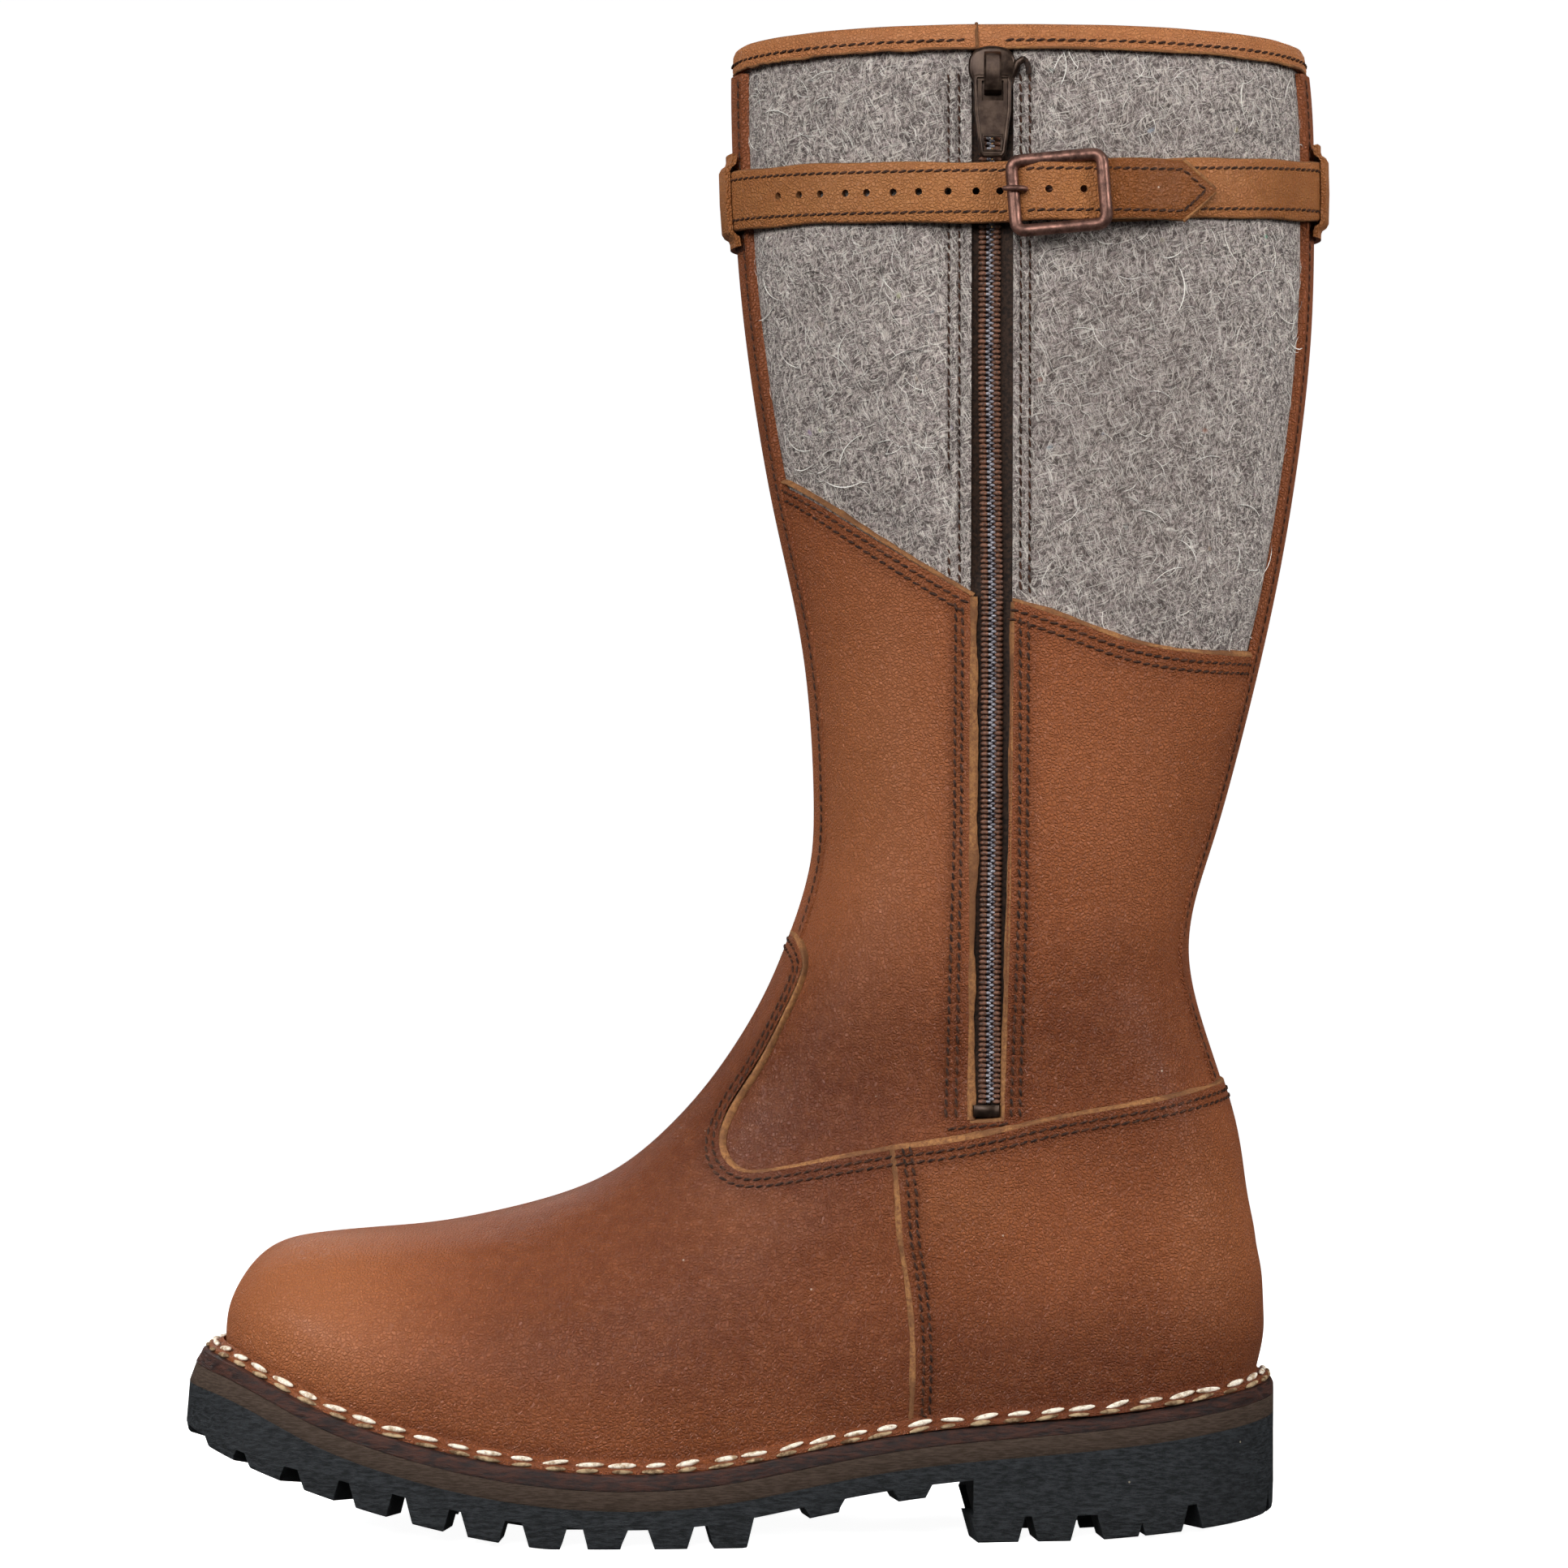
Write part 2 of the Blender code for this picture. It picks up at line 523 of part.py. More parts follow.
def build_upper():
    slot_high = BOOT_HEIGHT + 20
    upper = wall("upper", TURNS, RISE, -COVER - LINING_WALL, -COVER, "felt")
    slot = block("zip_slot", (ZIP_X[0], -80, ZIP_FOOT_Z), (ZIP_X[1], -20, slot_high))
    boolean(upper, "DIFFERENCE", slot)

    vamp_edge = smooth_line(VAMP_EDGE)
    front_edge = smooth_line(COUNTER_FRONT)
    top_edge = smooth_line(COUNTER_TOP)
    half = GAP / 2
    vamp_outline = np.concatenate(
        [vamp_edge, shifted(front_edge, -half)[1:], [(-190, 15), (-190, 120), (-60, 140)]]
    )
    vamp = wall("vamp", TURNS, rise(0, 11), *FOOT_LEATHER, "leather")
    boolean(vamp, "INTERSECT", prism("vamp_outline", vamp_outline, -90, 90))
    counter_outline = np.concatenate(
        [top_edge[1:], [(190, 130), (190, 15)], shifted(front_edge, half)[::-1]]
    )
    counter = wall("counter", TURNS, rise(0, 9.2), *FOOT_LEATHER, "leather")
    boolean(counter, "INTERSECT", prism("counter_outline", counter_outline, -90, 90))

    rim = shifted(np.concatenate([vamp_edge, top_edge[1:]]), GAP)
    felt_front = smooth_line(FELT_FRONT)
    felt_rear = smooth_line(FELT_REAR)
    ahead = rim[rim[:, 0] < ZIP_X[0]]
    ahead_end = (ZIP_X[0], np.interp(ZIP_X[0], top_edge[:, 0], top_edge[:, 1] + GAP))
    behind = rim[rim[:, 0] > ZIP_X[1]]
    behind_end = (ZIP_X[1], np.interp(ZIP_X[1], top_edge[:, 0], top_edge[:, 1] + GAP))
    slot_foot = [(ZIP_X[1], ZIP_FOOT_Z), (ZIP_X[0], ZIP_FOOT_Z)]
    levels = rise(6, 16)
    side = STRIP_HALF_WIDTH + GAP
    clipped = felt_front[felt_front[:, 0] < ZIP_X[0]]
    felt_end = (ZIP_X[0], float(np.interp(ZIP_X[0], felt_front[:, 0], felt_front[:, 1])))
    outline = np.concatenate([clipped, [felt_end, ahead_end], ahead[::-1], [(-60, 175)]])
    front = wall("shaft_leather_front", TURNS, levels, *SHAFT_LEATHER, "leather")
    boolean(front, "INTERSECT", prism("front_panel_outline", outline, -90, -side))
    clipped = felt_rear[felt_rear[:, 0] > ZIP_X[1]]
    felt_end = (ZIP_X[1], float(np.interp(ZIP_X[1], felt_rear[:, 0], felt_rear[:, 1])))
    outline = np.concatenate([[behind_end], behind, clipped[::-1], [felt_end]])
    rear = wall("shaft_leather_rear", TURNS, levels, *SHAFT_LEATHER, "leather")
    boolean(rear, "INTERSECT", prism("rear_panel_outline", outline, -90, -side))
    outline = np.concatenate([felt_front, felt_rear[1:], rim[::-1], [(-60, 175)]])
    inner = wall("shaft_leather_inner", TURNS, levels, *SHAFT_LEATHER, "leather")
    boolean(inner, "INTERSECT", prism("inner_panel_outline", outline, side, 90))

    strip_top = 411.5
    front_rim = rim[rim[:, 0] < 20.0]
    front_rim = front_rim[front_rim[:, 1] > 150.0]
    outline = np.concatenate([[(-60, 190)], front_rim, [(45, 175), (45, strip_top), (-60, strip_top)]])
    strip = wall("front_strip", TURNS, rise(9.2, TOP), *FOOT_LEATHER, "leather")
    boolean(strip, "INTERSECT", prism("front_strip_outline", outline, -STRIP_HALF_WIDTH, STRIP_HALF_WIDTH))
    back_rim = rim[rim[:, 0] > 95.0]
    outline = np.concatenate([back_rim, [(190, strip_top), (95, strip_top)]])
    strip = wall("back_strip", TURNS, rise(7.7, TOP), *FOOT_LEATHER, "leather")
    boolean(strip, "INTERSECT", prism("back_strip_outline", outline, -STRIP_HALF_WIDTH, STRIP_HALF_WIDTH))

    low, mid, high = 17.58, 17.9, TOP
    profile = np.array(
        [
            (low, -1.3), (17.95, -1.3), (high, -2.2), (high, -6.9), (17.95, -7.6), (low, -7.6),
            (low, -6.1), (mid, -6.1), (mid, -3.0), (low, -3.0),
        ]
    )
    first = float(turn_at(74.8, low))
    last = 1 + float(turn_at(59.3, low))
    turns = np.r_[first, [turn for turn in np.r_[TURNS, 1 + TURNS] if first < turn < last], last]
    sections = skin(turns[:, None], profile[:, 0][None], profile[:, 1][None])
    sweep("collar_binding", sections, "leather")

    outline = skin(np.linspace(0, 1, 49)[:-1], 0.05, -COVER - LINING_WALL - 1.2)
    sections = []
    for k in range(25):
        outer, inner_side = outline[k], outline[-k]
        low = sole_top(outer[0]) + 0.4
        if inner_side[1] - outer[1] > 1:
            corners = ((outer, low), (inner_side, low), (inner_side, low + 3), (outer, low + 3))
            sections.append([(place[0], place[1], z) for place, z in corners])
    sweep("insole", sections, "insole_leather")


def zip_strip(name, x_from, x_to, low, high, z_from, z_to, finish):
    """A strip that follows the outer side between two places along the boot."""
    heights = np.r_[z_from, [z for z in np.arange(130, 410, 28) if z_from + 4 < z < z_to - 4], z_to]
    xs = (x_from, x_to)
    turns, levels = [], []
    for z in heights:
        level = float(level_at(z, 0.23))
        turns.append([float(turn_at(x, level)) for x in xs])
        levels.append([level] * 2)
    return patch(name, np.array(turns), np.array(levels), low, high, finish)


def build_zip():
    foot = ZIP_FOOT_Z + 0.4
    zip_strip("zip_tape_front", ZIP_X[0] + 0.9, 64.7, -5.2, -4.0, foot, ZIP_TOP_Z, "zip_fabric")
    zip_strip("zip_tape_rear", 69.3, ZIP_X[1] - 0.9, -5.2, -4.0, foot, ZIP_TOP_Z, "zip_fabric")
    zip_strip("zip_chain", 65.0, 69.0, -5.4, -3.2, foot, ZIP_TOP_Z - 3, "zip_fabric")
    zip_strip("zip_stop", 61.8, 70.0, -2.8, -1.3, 118.2, 121.7, "zip_metal")

    middle = 66.9
    face_y = near_y(middle, 408, -0.6)
    body = rounded(13.2, 15.2, 4.0)
    sections = []
    for y, grow in ((face_y + 1.8, 1.0), (face_y + 0.4, 1.0), (face_y, 0.93)):
        sections.append([(middle + x * grow, y, 408.2 + z * grow) for x, z in body])
    slider = sweep("zip_slider", sections, "zip_metal")
    bridge_line = ((0.6, 414.2), (-3.2, 414.2), (-4.5, 412.6), (-4.5, 403.6), (-3.2, 402.2), (0.6, 402.2))
    inside_line = ((0.6, 412.7), (-2.6, 412.7), (-3.1, 412.2), (-3.1, 404.2), (-2.6, 403.7), (0.6, 403.7))
    bridge = []
    for (y, z), (y_in, z_in) in zip(bridge_line, inside_line):
        corners = ((middle - 2.5, y, z), (middle + 2.5, y, z), (middle + 2.5, y_in, z_in), (middle - 2.5, y_in, z_in))
        bridge.append([(x, face_y + dy, height) for x, dy, height in corners])
    boolean(slider, "UNION", sweep("slider_bridge", bridge))

    axle = (middle, face_y - 1.75, 407.0)
    outline = ((-5.4, 0.8), (5.4, 0.8), (5.5, -9.0), (3.6, -21.6), (2.6, -22.2), (-2.6, -22.2), (-3.6, -21.6), (-5.5, -9.0))
    sections = []
    for y in (-0.8, 0.8):
        sections.append([(axle[0] + x, axle[1] + y, axle[2] + z) for x, z in outline])
    pull = sweep("zip_pull", sections, "zip_metal", origin=axle)
    for name, width, z_low, z_high in (("pull_eye", 6.2, -6.2, -0.8), ("pull_window", 4.2, -20.0, -16.2)):
        cutter = block(
            name,
            (axle[0] - width / 2, axle[1] - 4, axle[2] + z_low),
            (axle[0] + width / 2, axle[1] + 4, axle[2] + z_high),
        )
        boolean(pull, "DIFFERENCE", cutter)


def strap_place(turn, across, out):
    """A point of the strap at a turn, across its width and outwards."""
    middle = np.interp(turn, STRAP_HEIGHTS["turn"], STRAP_HEIGHTS["z"])
    level = level_at(middle + across, turn % 1)
    return skin(turn, level, out)


def strap_turn(x):
    return float(turn_at(x, level_at(376.0, 0.25)))


def strap_out(turn):
    """How far out the strap's inner face lies: it climbs over the buckle's centre bar."""
    if turn < 1:
        return 0.3
    x = float(form(turn, level_at(376.0, turn % 1))[0])
    return float(np.interp(x, STRAP_LAYERS["x"], STRAP_LAYERS["out"]))


def build_strap():
    first = strap_turn(STRAP_START_X)
    tip = 1 + strap_turn(STRAP_TIP_X)
    shoulder = 1 + strap_turn(STRAP_TIP_X - 9.5)
    bends = [1 + strap_turn(x) for x in (64, 70, 72.3, 74.5, 77, 80, 84.7, 92, 100, 108)]
    fixed = [turn for turn in np.r_[TURNS, 1 + TURNS] if first < turn < 1.2]
    turns = np.r_[first, fixed, bends, shoulder, tip]
    sections = []
    for turn in turns:
        half = STRAP_WIDTH / 2 if turn < shoulder + 1e-6 else 1.2
        out = strap_out(turn)
        corners = ((-half, out), (half, out), (half, out + STRAP_THICK), (-half, out + STRAP_THICK))
        sections.append([strap_place(turn, across, move) for across, move in corners])
    strap = sweep("strap", sections, "strap_leather")
    points, faces = [], []
    for x in (*STRAP_HOLES_X, PRONG_HOLE_X):
        turn = 1 + strap_turn(x)
        radius = 1.7 if x == PRONG_HOLE_X else HOLE_WIDTH / 2
        out = strap_out(turn)
        middle = strap_place(turn, 0, out)
        normal = strap_place(turn, 0, out + 1) - middle
        along = np.cross(normal, (0, 0, 1))
        start = len(points)
        for reach in (-0.9, STRAP_THICK + 2.0):
            for angle in np.arange(6) * math.pi / 3:
                around = along * math.cos(angle) + np.array((0, 0, 1)) * math.sin(angle)
                points.append(middle + normal * reach + around * radius)
        faces += [tuple(start + k for k in range(6)), tuple(start + 11 - k for k in range(6))]
        faces += [(start + k, start + (k + 1) % 6, start + 6 + (k + 1) % 6, start + 6 + k) for k in range(6)]
    boolean(strap, "DIFFERENCE", add_solid("strap_holes", points, faces))

    tilt = math.radians(4.5)
    bar = 2.4
    centre = (85.2, 376.0)
    outline = rounded(26.5, 20.6, 3.0)
    sections = []
    for (x, z), (dx, dz) in zip(outline, outline / np.linalg.norm(outline, axis=1, keepdims=True)):
        share = (x + 13.2) / 26.5
        face = near_y(72.3, 376, 2.9) * (1 - share) + near_y(98.5, 376, 6.8) * share
        section = []
        for out, lift in ((0, 0.0), (bar, 0.0), (bar, 1.6), (bar * 0.5, 2.3), (0, 1.6)):
            place_x, place_z = x + dx * out, z + dz * out
            section.append(
                (
                    centre[0] + place_x * math.cos(tilt) - place_z * math.sin(tilt),
                    face - lift,
                    centre[1] + place_z * math.cos(tilt) + place_x * math.sin(tilt),
                )
            )
        sections.append(section)
    frame = sweep("buckle", sections, "copper", closed_path=True)
    bar_y = near_y(84.9, 376, 0)
    sections = []
    for z, lift in ((-11.2, 5.6), (-9.6, 2.6), (9.6, 2.6), (11.2, 5.6)):
        x = 84.9 - z * math.sin(tilt)
        corners = ((-0.9, 0), (0.9, 0), (0.9, 1.7), (-0.9, 1.7))
        sections.append([(x + dx, bar_y - lift - dy, centre[1] + z) for dx, dy in corners])
    boolean(frame, "UNION", sweep("buckle_bar", sections))

    path = ((83.4, 3.4), (80.0, 3.2), (77.4, 2.8), (75.8, 3.4), (74.6, 5.0), (72.3, 6.3), (70.3, 6.2))
    sections = []
    for x, out in path:
        y = near_y(x, 376, out)
        corners = ((0.75, -0.75), (-0.75, -0.75), (-0.75, 0.75), (0.75, 0.75))
        lean = 0.6 if 74 < x < 77.5 else 0.0
        sections.append([(x + lean * dy, y + dy * (1 - lean / 2), 375.6 + dz) for dy, dz in corners])
    sweep("buckle_prong", sections, "copper")

    for name, turn in (("keeper_front", 0.0), ("keeper_back", 0.5)):
        middle = np.interp(turn, STRAP_HEIGHTS["turn"], STRAP_HEIGHTS["z"])
        rows = ((-13.0, 0.3), (-10.2, 0.3), (-9.0, 2.5), (9.0, 2.5), (10.2, 0.3), (13.0, 0.3))
        turns = turn + np.array((-1, 0, 1)) / 30
        levels = np.array([[level_at(middle + dz, turn)] * 3 for dz, _ in rows])
        low = np.array([[out] * 3 for _, out in rows])
        patch(name, np.broadcast_to(turns, levels.shape), levels, low, low + 1.4, "strap_leather")


def clear_scene():
    for old in list(bpy.data.objects):
        bpy.data.objects.remove(old, do_unlink=True)


clear_scene()
build_sole()
build_upper()
build_zip()
build_strap()
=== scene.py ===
# %% [markdown]
# A tall hunting boot in leather and felt, dressed piece by piece.
#
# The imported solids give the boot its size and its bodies. This lesson lays finer pieces over
# them: leather panels cut from one curved form, felt, a coil zip, a buckled strap, and a
# stitched sole. Sizes are in millimetres until a mesh is made, which is in metres.

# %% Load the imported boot
import math

import bmesh
import bpy
import numpy as np
from mathutils import Matrix, Vector
from mathutils.kdtree import KDTree


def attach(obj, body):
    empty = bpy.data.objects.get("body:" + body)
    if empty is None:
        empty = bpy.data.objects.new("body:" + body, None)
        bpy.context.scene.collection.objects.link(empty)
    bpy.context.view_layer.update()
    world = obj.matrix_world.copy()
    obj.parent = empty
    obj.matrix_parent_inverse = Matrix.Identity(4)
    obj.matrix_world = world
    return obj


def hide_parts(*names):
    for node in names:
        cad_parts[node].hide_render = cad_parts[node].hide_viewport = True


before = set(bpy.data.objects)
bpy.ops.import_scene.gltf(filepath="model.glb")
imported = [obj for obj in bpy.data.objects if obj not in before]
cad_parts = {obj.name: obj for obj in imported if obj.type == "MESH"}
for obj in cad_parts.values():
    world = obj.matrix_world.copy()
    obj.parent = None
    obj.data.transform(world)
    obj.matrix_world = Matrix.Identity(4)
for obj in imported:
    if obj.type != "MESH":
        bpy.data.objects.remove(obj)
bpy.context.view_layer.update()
MM = 0.001

# %% [markdown]
# The camera stands 1.5 m away on the boot's outer side, level with the middle of its height,
# and looks straight across. A long lens keeps the shaft's sides nearly parallel.

# %% Camera
CAMERA_MM = (9.2, -1497.4, 211.5)
LENS_MM = 120.2
SENSOR_MM = 36
FAR_CLIP_M = 50

camera = bpy.data.objects.new("camera", bpy.data.cameras.new("camera"))
bpy.context.scene.collection.objects.link(camera)
camera.location = [value * MM for value in CAMERA_MM]
camera.rotation_euler = (math.radians(90), 0, 0)
camera.data.sensor_width = SENSOR_MM
camera.data.lens = LENS_MM
camera.data.clip_end = FAR_CLIP_M
bpy.context.scene.camera = camera
bpy.context.scene.view_settings.view_transform = "Standard"
print("camera at", tuple(camera.location))

# %% [markdown]
# A shoe has no flat side to measure from, so everything on it hangs on one function: its form.
# A row of the table is a section of the last or shaft. A turn of 0 is the toe, 0.5 the heel,
# with the outer side between them, and a level climbs from row to row. The same table drives
# the solids, so the pieces made here fall on them.

# %% Sizes of the boot
LAST_LENGTH = 294.0
BALL_WIDTH = 95.0
BOOT_HEIGHT = 421.5
HEEL_BACK_X = 143.0
MIDDLE_Y = 2.6

# Ends along the foot in percent of the last, heights in percent of the boot, half widths in
# percent of the ball's width, then shape shares, and mm for swing and arch
SECTION_COLUMNS = (
    "front front_height back back_height outer inner heel widest point round swing arch sag"
).split()
SECTIONS = {
    "welt line": (100.0, 12.45, 0.0, 10.05, 50.0, 48.5, 0.71, 0.38, 3.0, 10.0, 6.0, 5, 1.0),
    "low wall": (99.9, 14.25, -0.9, 12.55, 52.0, 50.5, 0.71, 0.38, 3.0, 10.0, 6.0, 4, 0.9),
    "toe wall": (98.8, 16.35, -1.0, 14.45, 51.0, 49.5, 0.73, 0.39, 3.0, 10.0, 5.5, 3, 0.7),
    "toe top": (95.6, 18.8, -0.9, 16.15, 46.3, 45.8, 0.80, 0.43, 2.6, 9.0, 5.0, 2, 0.45),
    "toe crown": (90.5, 19.9, -0.7, 17.55, 43.0, 42.5, 0.845, 0.5, 1.3, 8.0, 4.0, 1, 0.2),
    "vamp point": (81.6, 20.2, -0.3, 19.0, 42.1, 41.6, 0.86, 0.5, 1.17, 7.5, 3.0, 0, 0.08),
    "vamp": (72.9, 21.0, 0.0, 20.4, 41.5, 41.2, 0.873, 0.485, 1.2, 7.0, 2.0, 0, 0.0),
    "low instep": (63.4, 23.4, 0.7, 23.0, 41.0, 40.8, 0.885, 0.475, 1.5, 6.0, 1.0, 0, 0.0),
    "instep": (56.3, 27.4, 1.7, 27.3, 40.8, 40.8, 0.905, 0.475, 1.8, 5.0, 0.5, 0, 0.0),
    "high instep": (50.3, 32.75, 4.1, 32.75, 41.2, 41.2, 0.945, 0.49, 2.1, 3.5, 0, 0, 0.0),
    "ankle": (45.7, 38.9, 6.0, 38.7, 42.1, 42.1, 1.0, 0.50, 2.2, 2.6, 0, 0, 0.0),
    "above ankle": (43.3, 43.9, 4.7, 43.9, 43.2, 43.2, 1.0, 0.50, 2.0, 2.2, 0, 0, 0.0),
    "low shaft": (42.7, 48.9, 2.5, 48.9, 44.2, 44.2, 1.0, 0.50, 2.0, 2.0, 0, 0, 0.0),
    "shaft": (43.7, 58.8, -1.1, 58.8, 47.4, 47.4, 1.0, 0.50, 2.0, 2.0, 0, 0, 0.0),
    "low calf": (46.6, 68.7, -3.9, 68.7, 50.5, 50.5, 1.0, 0.50, 2.0, 2.0, 0, 0, 0.0),
    "calf": (49.0, 78.65, -5.7, 78.65, 53.2, 53.2, 1.0, 0.50, 2.0, 2.0, 0, 0, 0.0),
    "strap": (50.2, 86.85, -6.2, 86.85, 54.2, 54.2, 1.0, 0.50, 2.0, 2.0, 0, 0, 0.0),
    "below collar": (50.7, 94.9, -6.1, 94.9, 53.7, 53.7, 1.0, 0.50, 2.0, 2.0, 0, 0, 0.0),
    "collar": (50.7, 100.0, -5.4, 100.0, 52.6, 52.6, 1.0, 0.50, 2.0, 2.0, 0, 0, 0.0),
}
# Height of the welt's top above the floor, along the boot
SOLE_LINE = {
    "x": (-163, -151, -122, -99, -76, -39, -6, 17, 43, 64, 87, 110, 129, 152),
    "top": (51.2, 49.6, 38.0, 30.4, 25.0, 21.0, 22.8, 27.0, 31.2, 33.2, 34.8, 37.0, 39.6, 43.4),
}
print("sections", len(SECTIONS), "of", len(SECTION_COLUMNS), "values each")

# %% [markdown]
# A smooth surface needs smooth curves between the rows. A cubic spline goes through every value
# and bends as little as it can, like the batten a boat builder lays through marks.


# %% Smooth curves between the rows
def spline(places, values):
    """A smooth curve through the points, as a function of the place."""
    places = np.asarray(places, float)
    values = np.asarray(values, float)
    gaps = np.diff(places)
    count = len(places)
    matrix = np.eye(count)
    right = np.zeros(count)
    for i in range(1, count - 1):
        matrix[i, i - 1 : i + 2] = gaps[i - 1], 2 * (gaps[i - 1] + gaps[i]), gaps[i]
        slopes = np.diff(values[i - 1 : i + 2]) / gaps[i - 1 : i + 1]
        right[i] = 6 * (slopes[1] - slopes[0])
    bends = np.linalg.solve(matrix, right)

    def at(place):
        place = np.asarray(place, float)
        i = np.clip(np.searchsorted(places, place) - 1, 0, count - 2)
        a = (places[i + 1] - place) / gaps[i]
        b = 1 - a
        curve = ((a**3 - a) * bends[i] + (b**3 - b) * bends[i + 1]) * gaps[i] ** 2 / 6
        return a * values[i] + b * values[i + 1] + curve

    return at


ROWS = np.array(list(SECTIONS.values()), float)
TOP = len(SECTIONS) - 1
SECTION = {name: spline(range(TOP + 1), ROWS[:, i]) for i, name in enumerate(SECTION_COLUMNS)}
sole_top = spline(SOLE_LINE["x"], SOLE_LINE["top"])
print("curves", sorted(SECTION))

# %% [markdown]
# Each section has a plan, drawn in two halves: the toe, which may be pointed or round, and the
# heel, which tapers and is waisted on the inner side. Turn and level give a point of the form,
# and its slopes give the normal, along which leather, felt and thread are laid on it.


# %% The boot's form
def plan(turn, row):
    """Share of the length and sideways place of an outline at a turn: 0 toe, 0.5 heel."""
    outer_side = turn <= 0.5
    angle = np.where(outer_side, turn, 1 - turn) * 2 * math.pi
    ahead = np.clip(1 - np.cos(angle), 0, 1)
    behind = np.clip(-np.cos(angle), 0, 1)
    in_front = angle < math.pi / 2
    fore = row["point"] * ahead * (1 - ahead) ** 2 + ahead**2 * (3 - 2 * ahead)
    rear = 1 - behind ** row["round"]
    ease = np.clip(behind / 0.8, 0, 1)
    taper = 1 + (row["heel"] - 1) * ease**2 * (3 - 2 * ease)
    waist = np.sin(math.pi * np.clip(behind / 0.9, 0, 1)) ** 2
    half = np.where(outer_side, row["outer"], row["inner"])
    half = half * np.sqrt(np.where(in_front, fore, rear)) * np.where(in_front, 1, taper)
    half = half - np.where(outer_side, 0, row["arch"] * waist)
    sideways = np.where(outer_side, -half, half) + row["swing"] * (1 - ahead) ** 2 * in_front
    share = np.where(in_front, row["widest"] * ahead, row["widest"] + (1 - row["widest"]) * behind)
    return share, sideways


def form(turn, level):
    """A point of the boot's outermost form: turn runs round it, level up its sections."""
    turn, level = np.broadcast_arrays(np.asarray(turn, float) % 1, np.asarray(level, float))
    row = {name: curve(level) for name, curve in SECTION.items()}
    for name in ("outer", "inner"):
        row[name] = row[name] * BALL_WIDTH / 100
    share, y = plan(turn, row)
    x = HEEL_BACK_X - LAST_LENGTH / 100 * (row["front"] + (row["back"] - row["front"]) * share)
    z = BOOT_HEIGHT / 100 * (row["front_height"] + (row["back_height"] - row["front_height"]) * share)
    along = (HEEL_BACK_X - x) / LAST_LENGTH
    low = BOOT_HEIGHT / 100 * (ROWS[0, 3] + (ROWS[0, 1] - ROWS[0, 3]) * along)
    return np.stack([x, y, z + row["sag"] * (sole_top(x) - low)], -1)


def slopes(turn, level):
    """How the form moves for a whole turn and a whole level."""
    step = 0.002
    around = (form(turn + step, level) - form(turn - step, level)) / (2 * step)
    above, below = np.minimum(level + step, TOP), np.maximum(level - step, 0)
    upward = (form(turn, above) - form(turn, below)) / (above - below)[..., None]
    return around, upward


def unit(vectors):
    """Vectors of length 1."""
    return vectors / np.linalg.norm(vectors, axis=-1, keepdims=True)


def outward(turn, level):
    """The form's outer normal."""
    turn, level = np.broadcast_arrays(np.asarray(turn, float), np.asarray(level, float))
    return unit(np.cross(*slopes(turn, level)))


def skin(turn, level, out):
    """A point moved outwards from the form along its normal."""
    return form(turn, level) + outward(turn, level) * np.asarray(out)[..., None]


print("collar from x", form(0, TOP)[0], "to", form(0.5, TOP)[0])

# %% [markdown]
# Panel edges and seams are drawn as a pattern maker would, seen from the side. Each such point
# has to be found again on the form, which Newton's method does in a few steps. A seam is then a
# row of turns and levels, and a second row beside it is a small step across the surface.

# %% From a side view to places on the form
LOOK_TURNS = np.linspace(0.004, 0.496, 90)
LOOK_LEVELS = np.linspace(0.02, TOP - 0.02, 150)
LOOK = form(LOOK_TURNS[:, None], LOOK_LEVELS[None])


def on_side(x, z):
    """Turns and levels of the places that show at x, z from the outer side."""
    x, z = np.atleast_1d(np.asarray(x, float)), np.atleast_1d(np.asarray(z, float))
    far = (LOOK[None, ..., 0] - x[:, None, None]) ** 2 + (LOOK[None, ..., 2] - z[:, None, None]) ** 2
    nearest = far.reshape(len(x), -1).argmin(1)
    turn = LOOK_TURNS[nearest // len(LOOK_LEVELS)]
    level = LOOK_LEVELS[nearest % len(LOOK_LEVELS)]
    for _ in range(8):
        here = form(turn, level)
        around, upward = slopes(turn, level)
        off_x, off_z = x - here[:, 0], z - here[:, 2]
        size = around[:, 0] * upward[:, 2] - around[:, 2] * upward[:, 0]
        turn = turn + np.clip((off_x * upward[:, 2] - off_z * upward[:, 0]) / size, -0.01, 0.01)
        level = level + np.clip((around[:, 0] * off_z - around[:, 2] * off_x) / size, -0.3, 0.3)
        turn, level = np.clip(turn, 0.0005, 0.4995), np.clip(level, 0, TOP)
    return turn, level


def beside(turn, level, distance):
    """The row of places a distance to the left of a row, across the surface."""
    path = form(turn, level)
    along = unit(np.gradient(path, axis=0))
    across = np.cross(outward(turn, level), along) * np.asarray(distance)[..., None]
    around, upward = slopes(turn, level)
    a, b, c = (around * around).sum(-1), (around * upward).sum(-1), (upward * upward).sum(-1)
    p, q = (around * across).sum(-1), (upward * across).sum(-1)
    size = a * c - b * b
    return turn + (p * c - q * b) / size, np.clip(level + (q * a - p * b) / size, 0, TOP)


test_turn, test_level = on_side([30.0, 100.0], [250.0, 90.0])
print("found again", form(test_turn, test_level)[:, [0, 2]].round(2).tolist())

# %% [markdown]
# A drawn edge is a few points with a curve through them. Where it runs off the boot's front or
# back it is closed onto the ridge there, so that the two sides meet.


# %% Drawn lines on the form
def lengths_along(path):
    """How far along a path each of its points lies."""
    return np.r_[0, np.cumsum(np.linalg.norm(np.diff(path, axis=0), axis=1))]


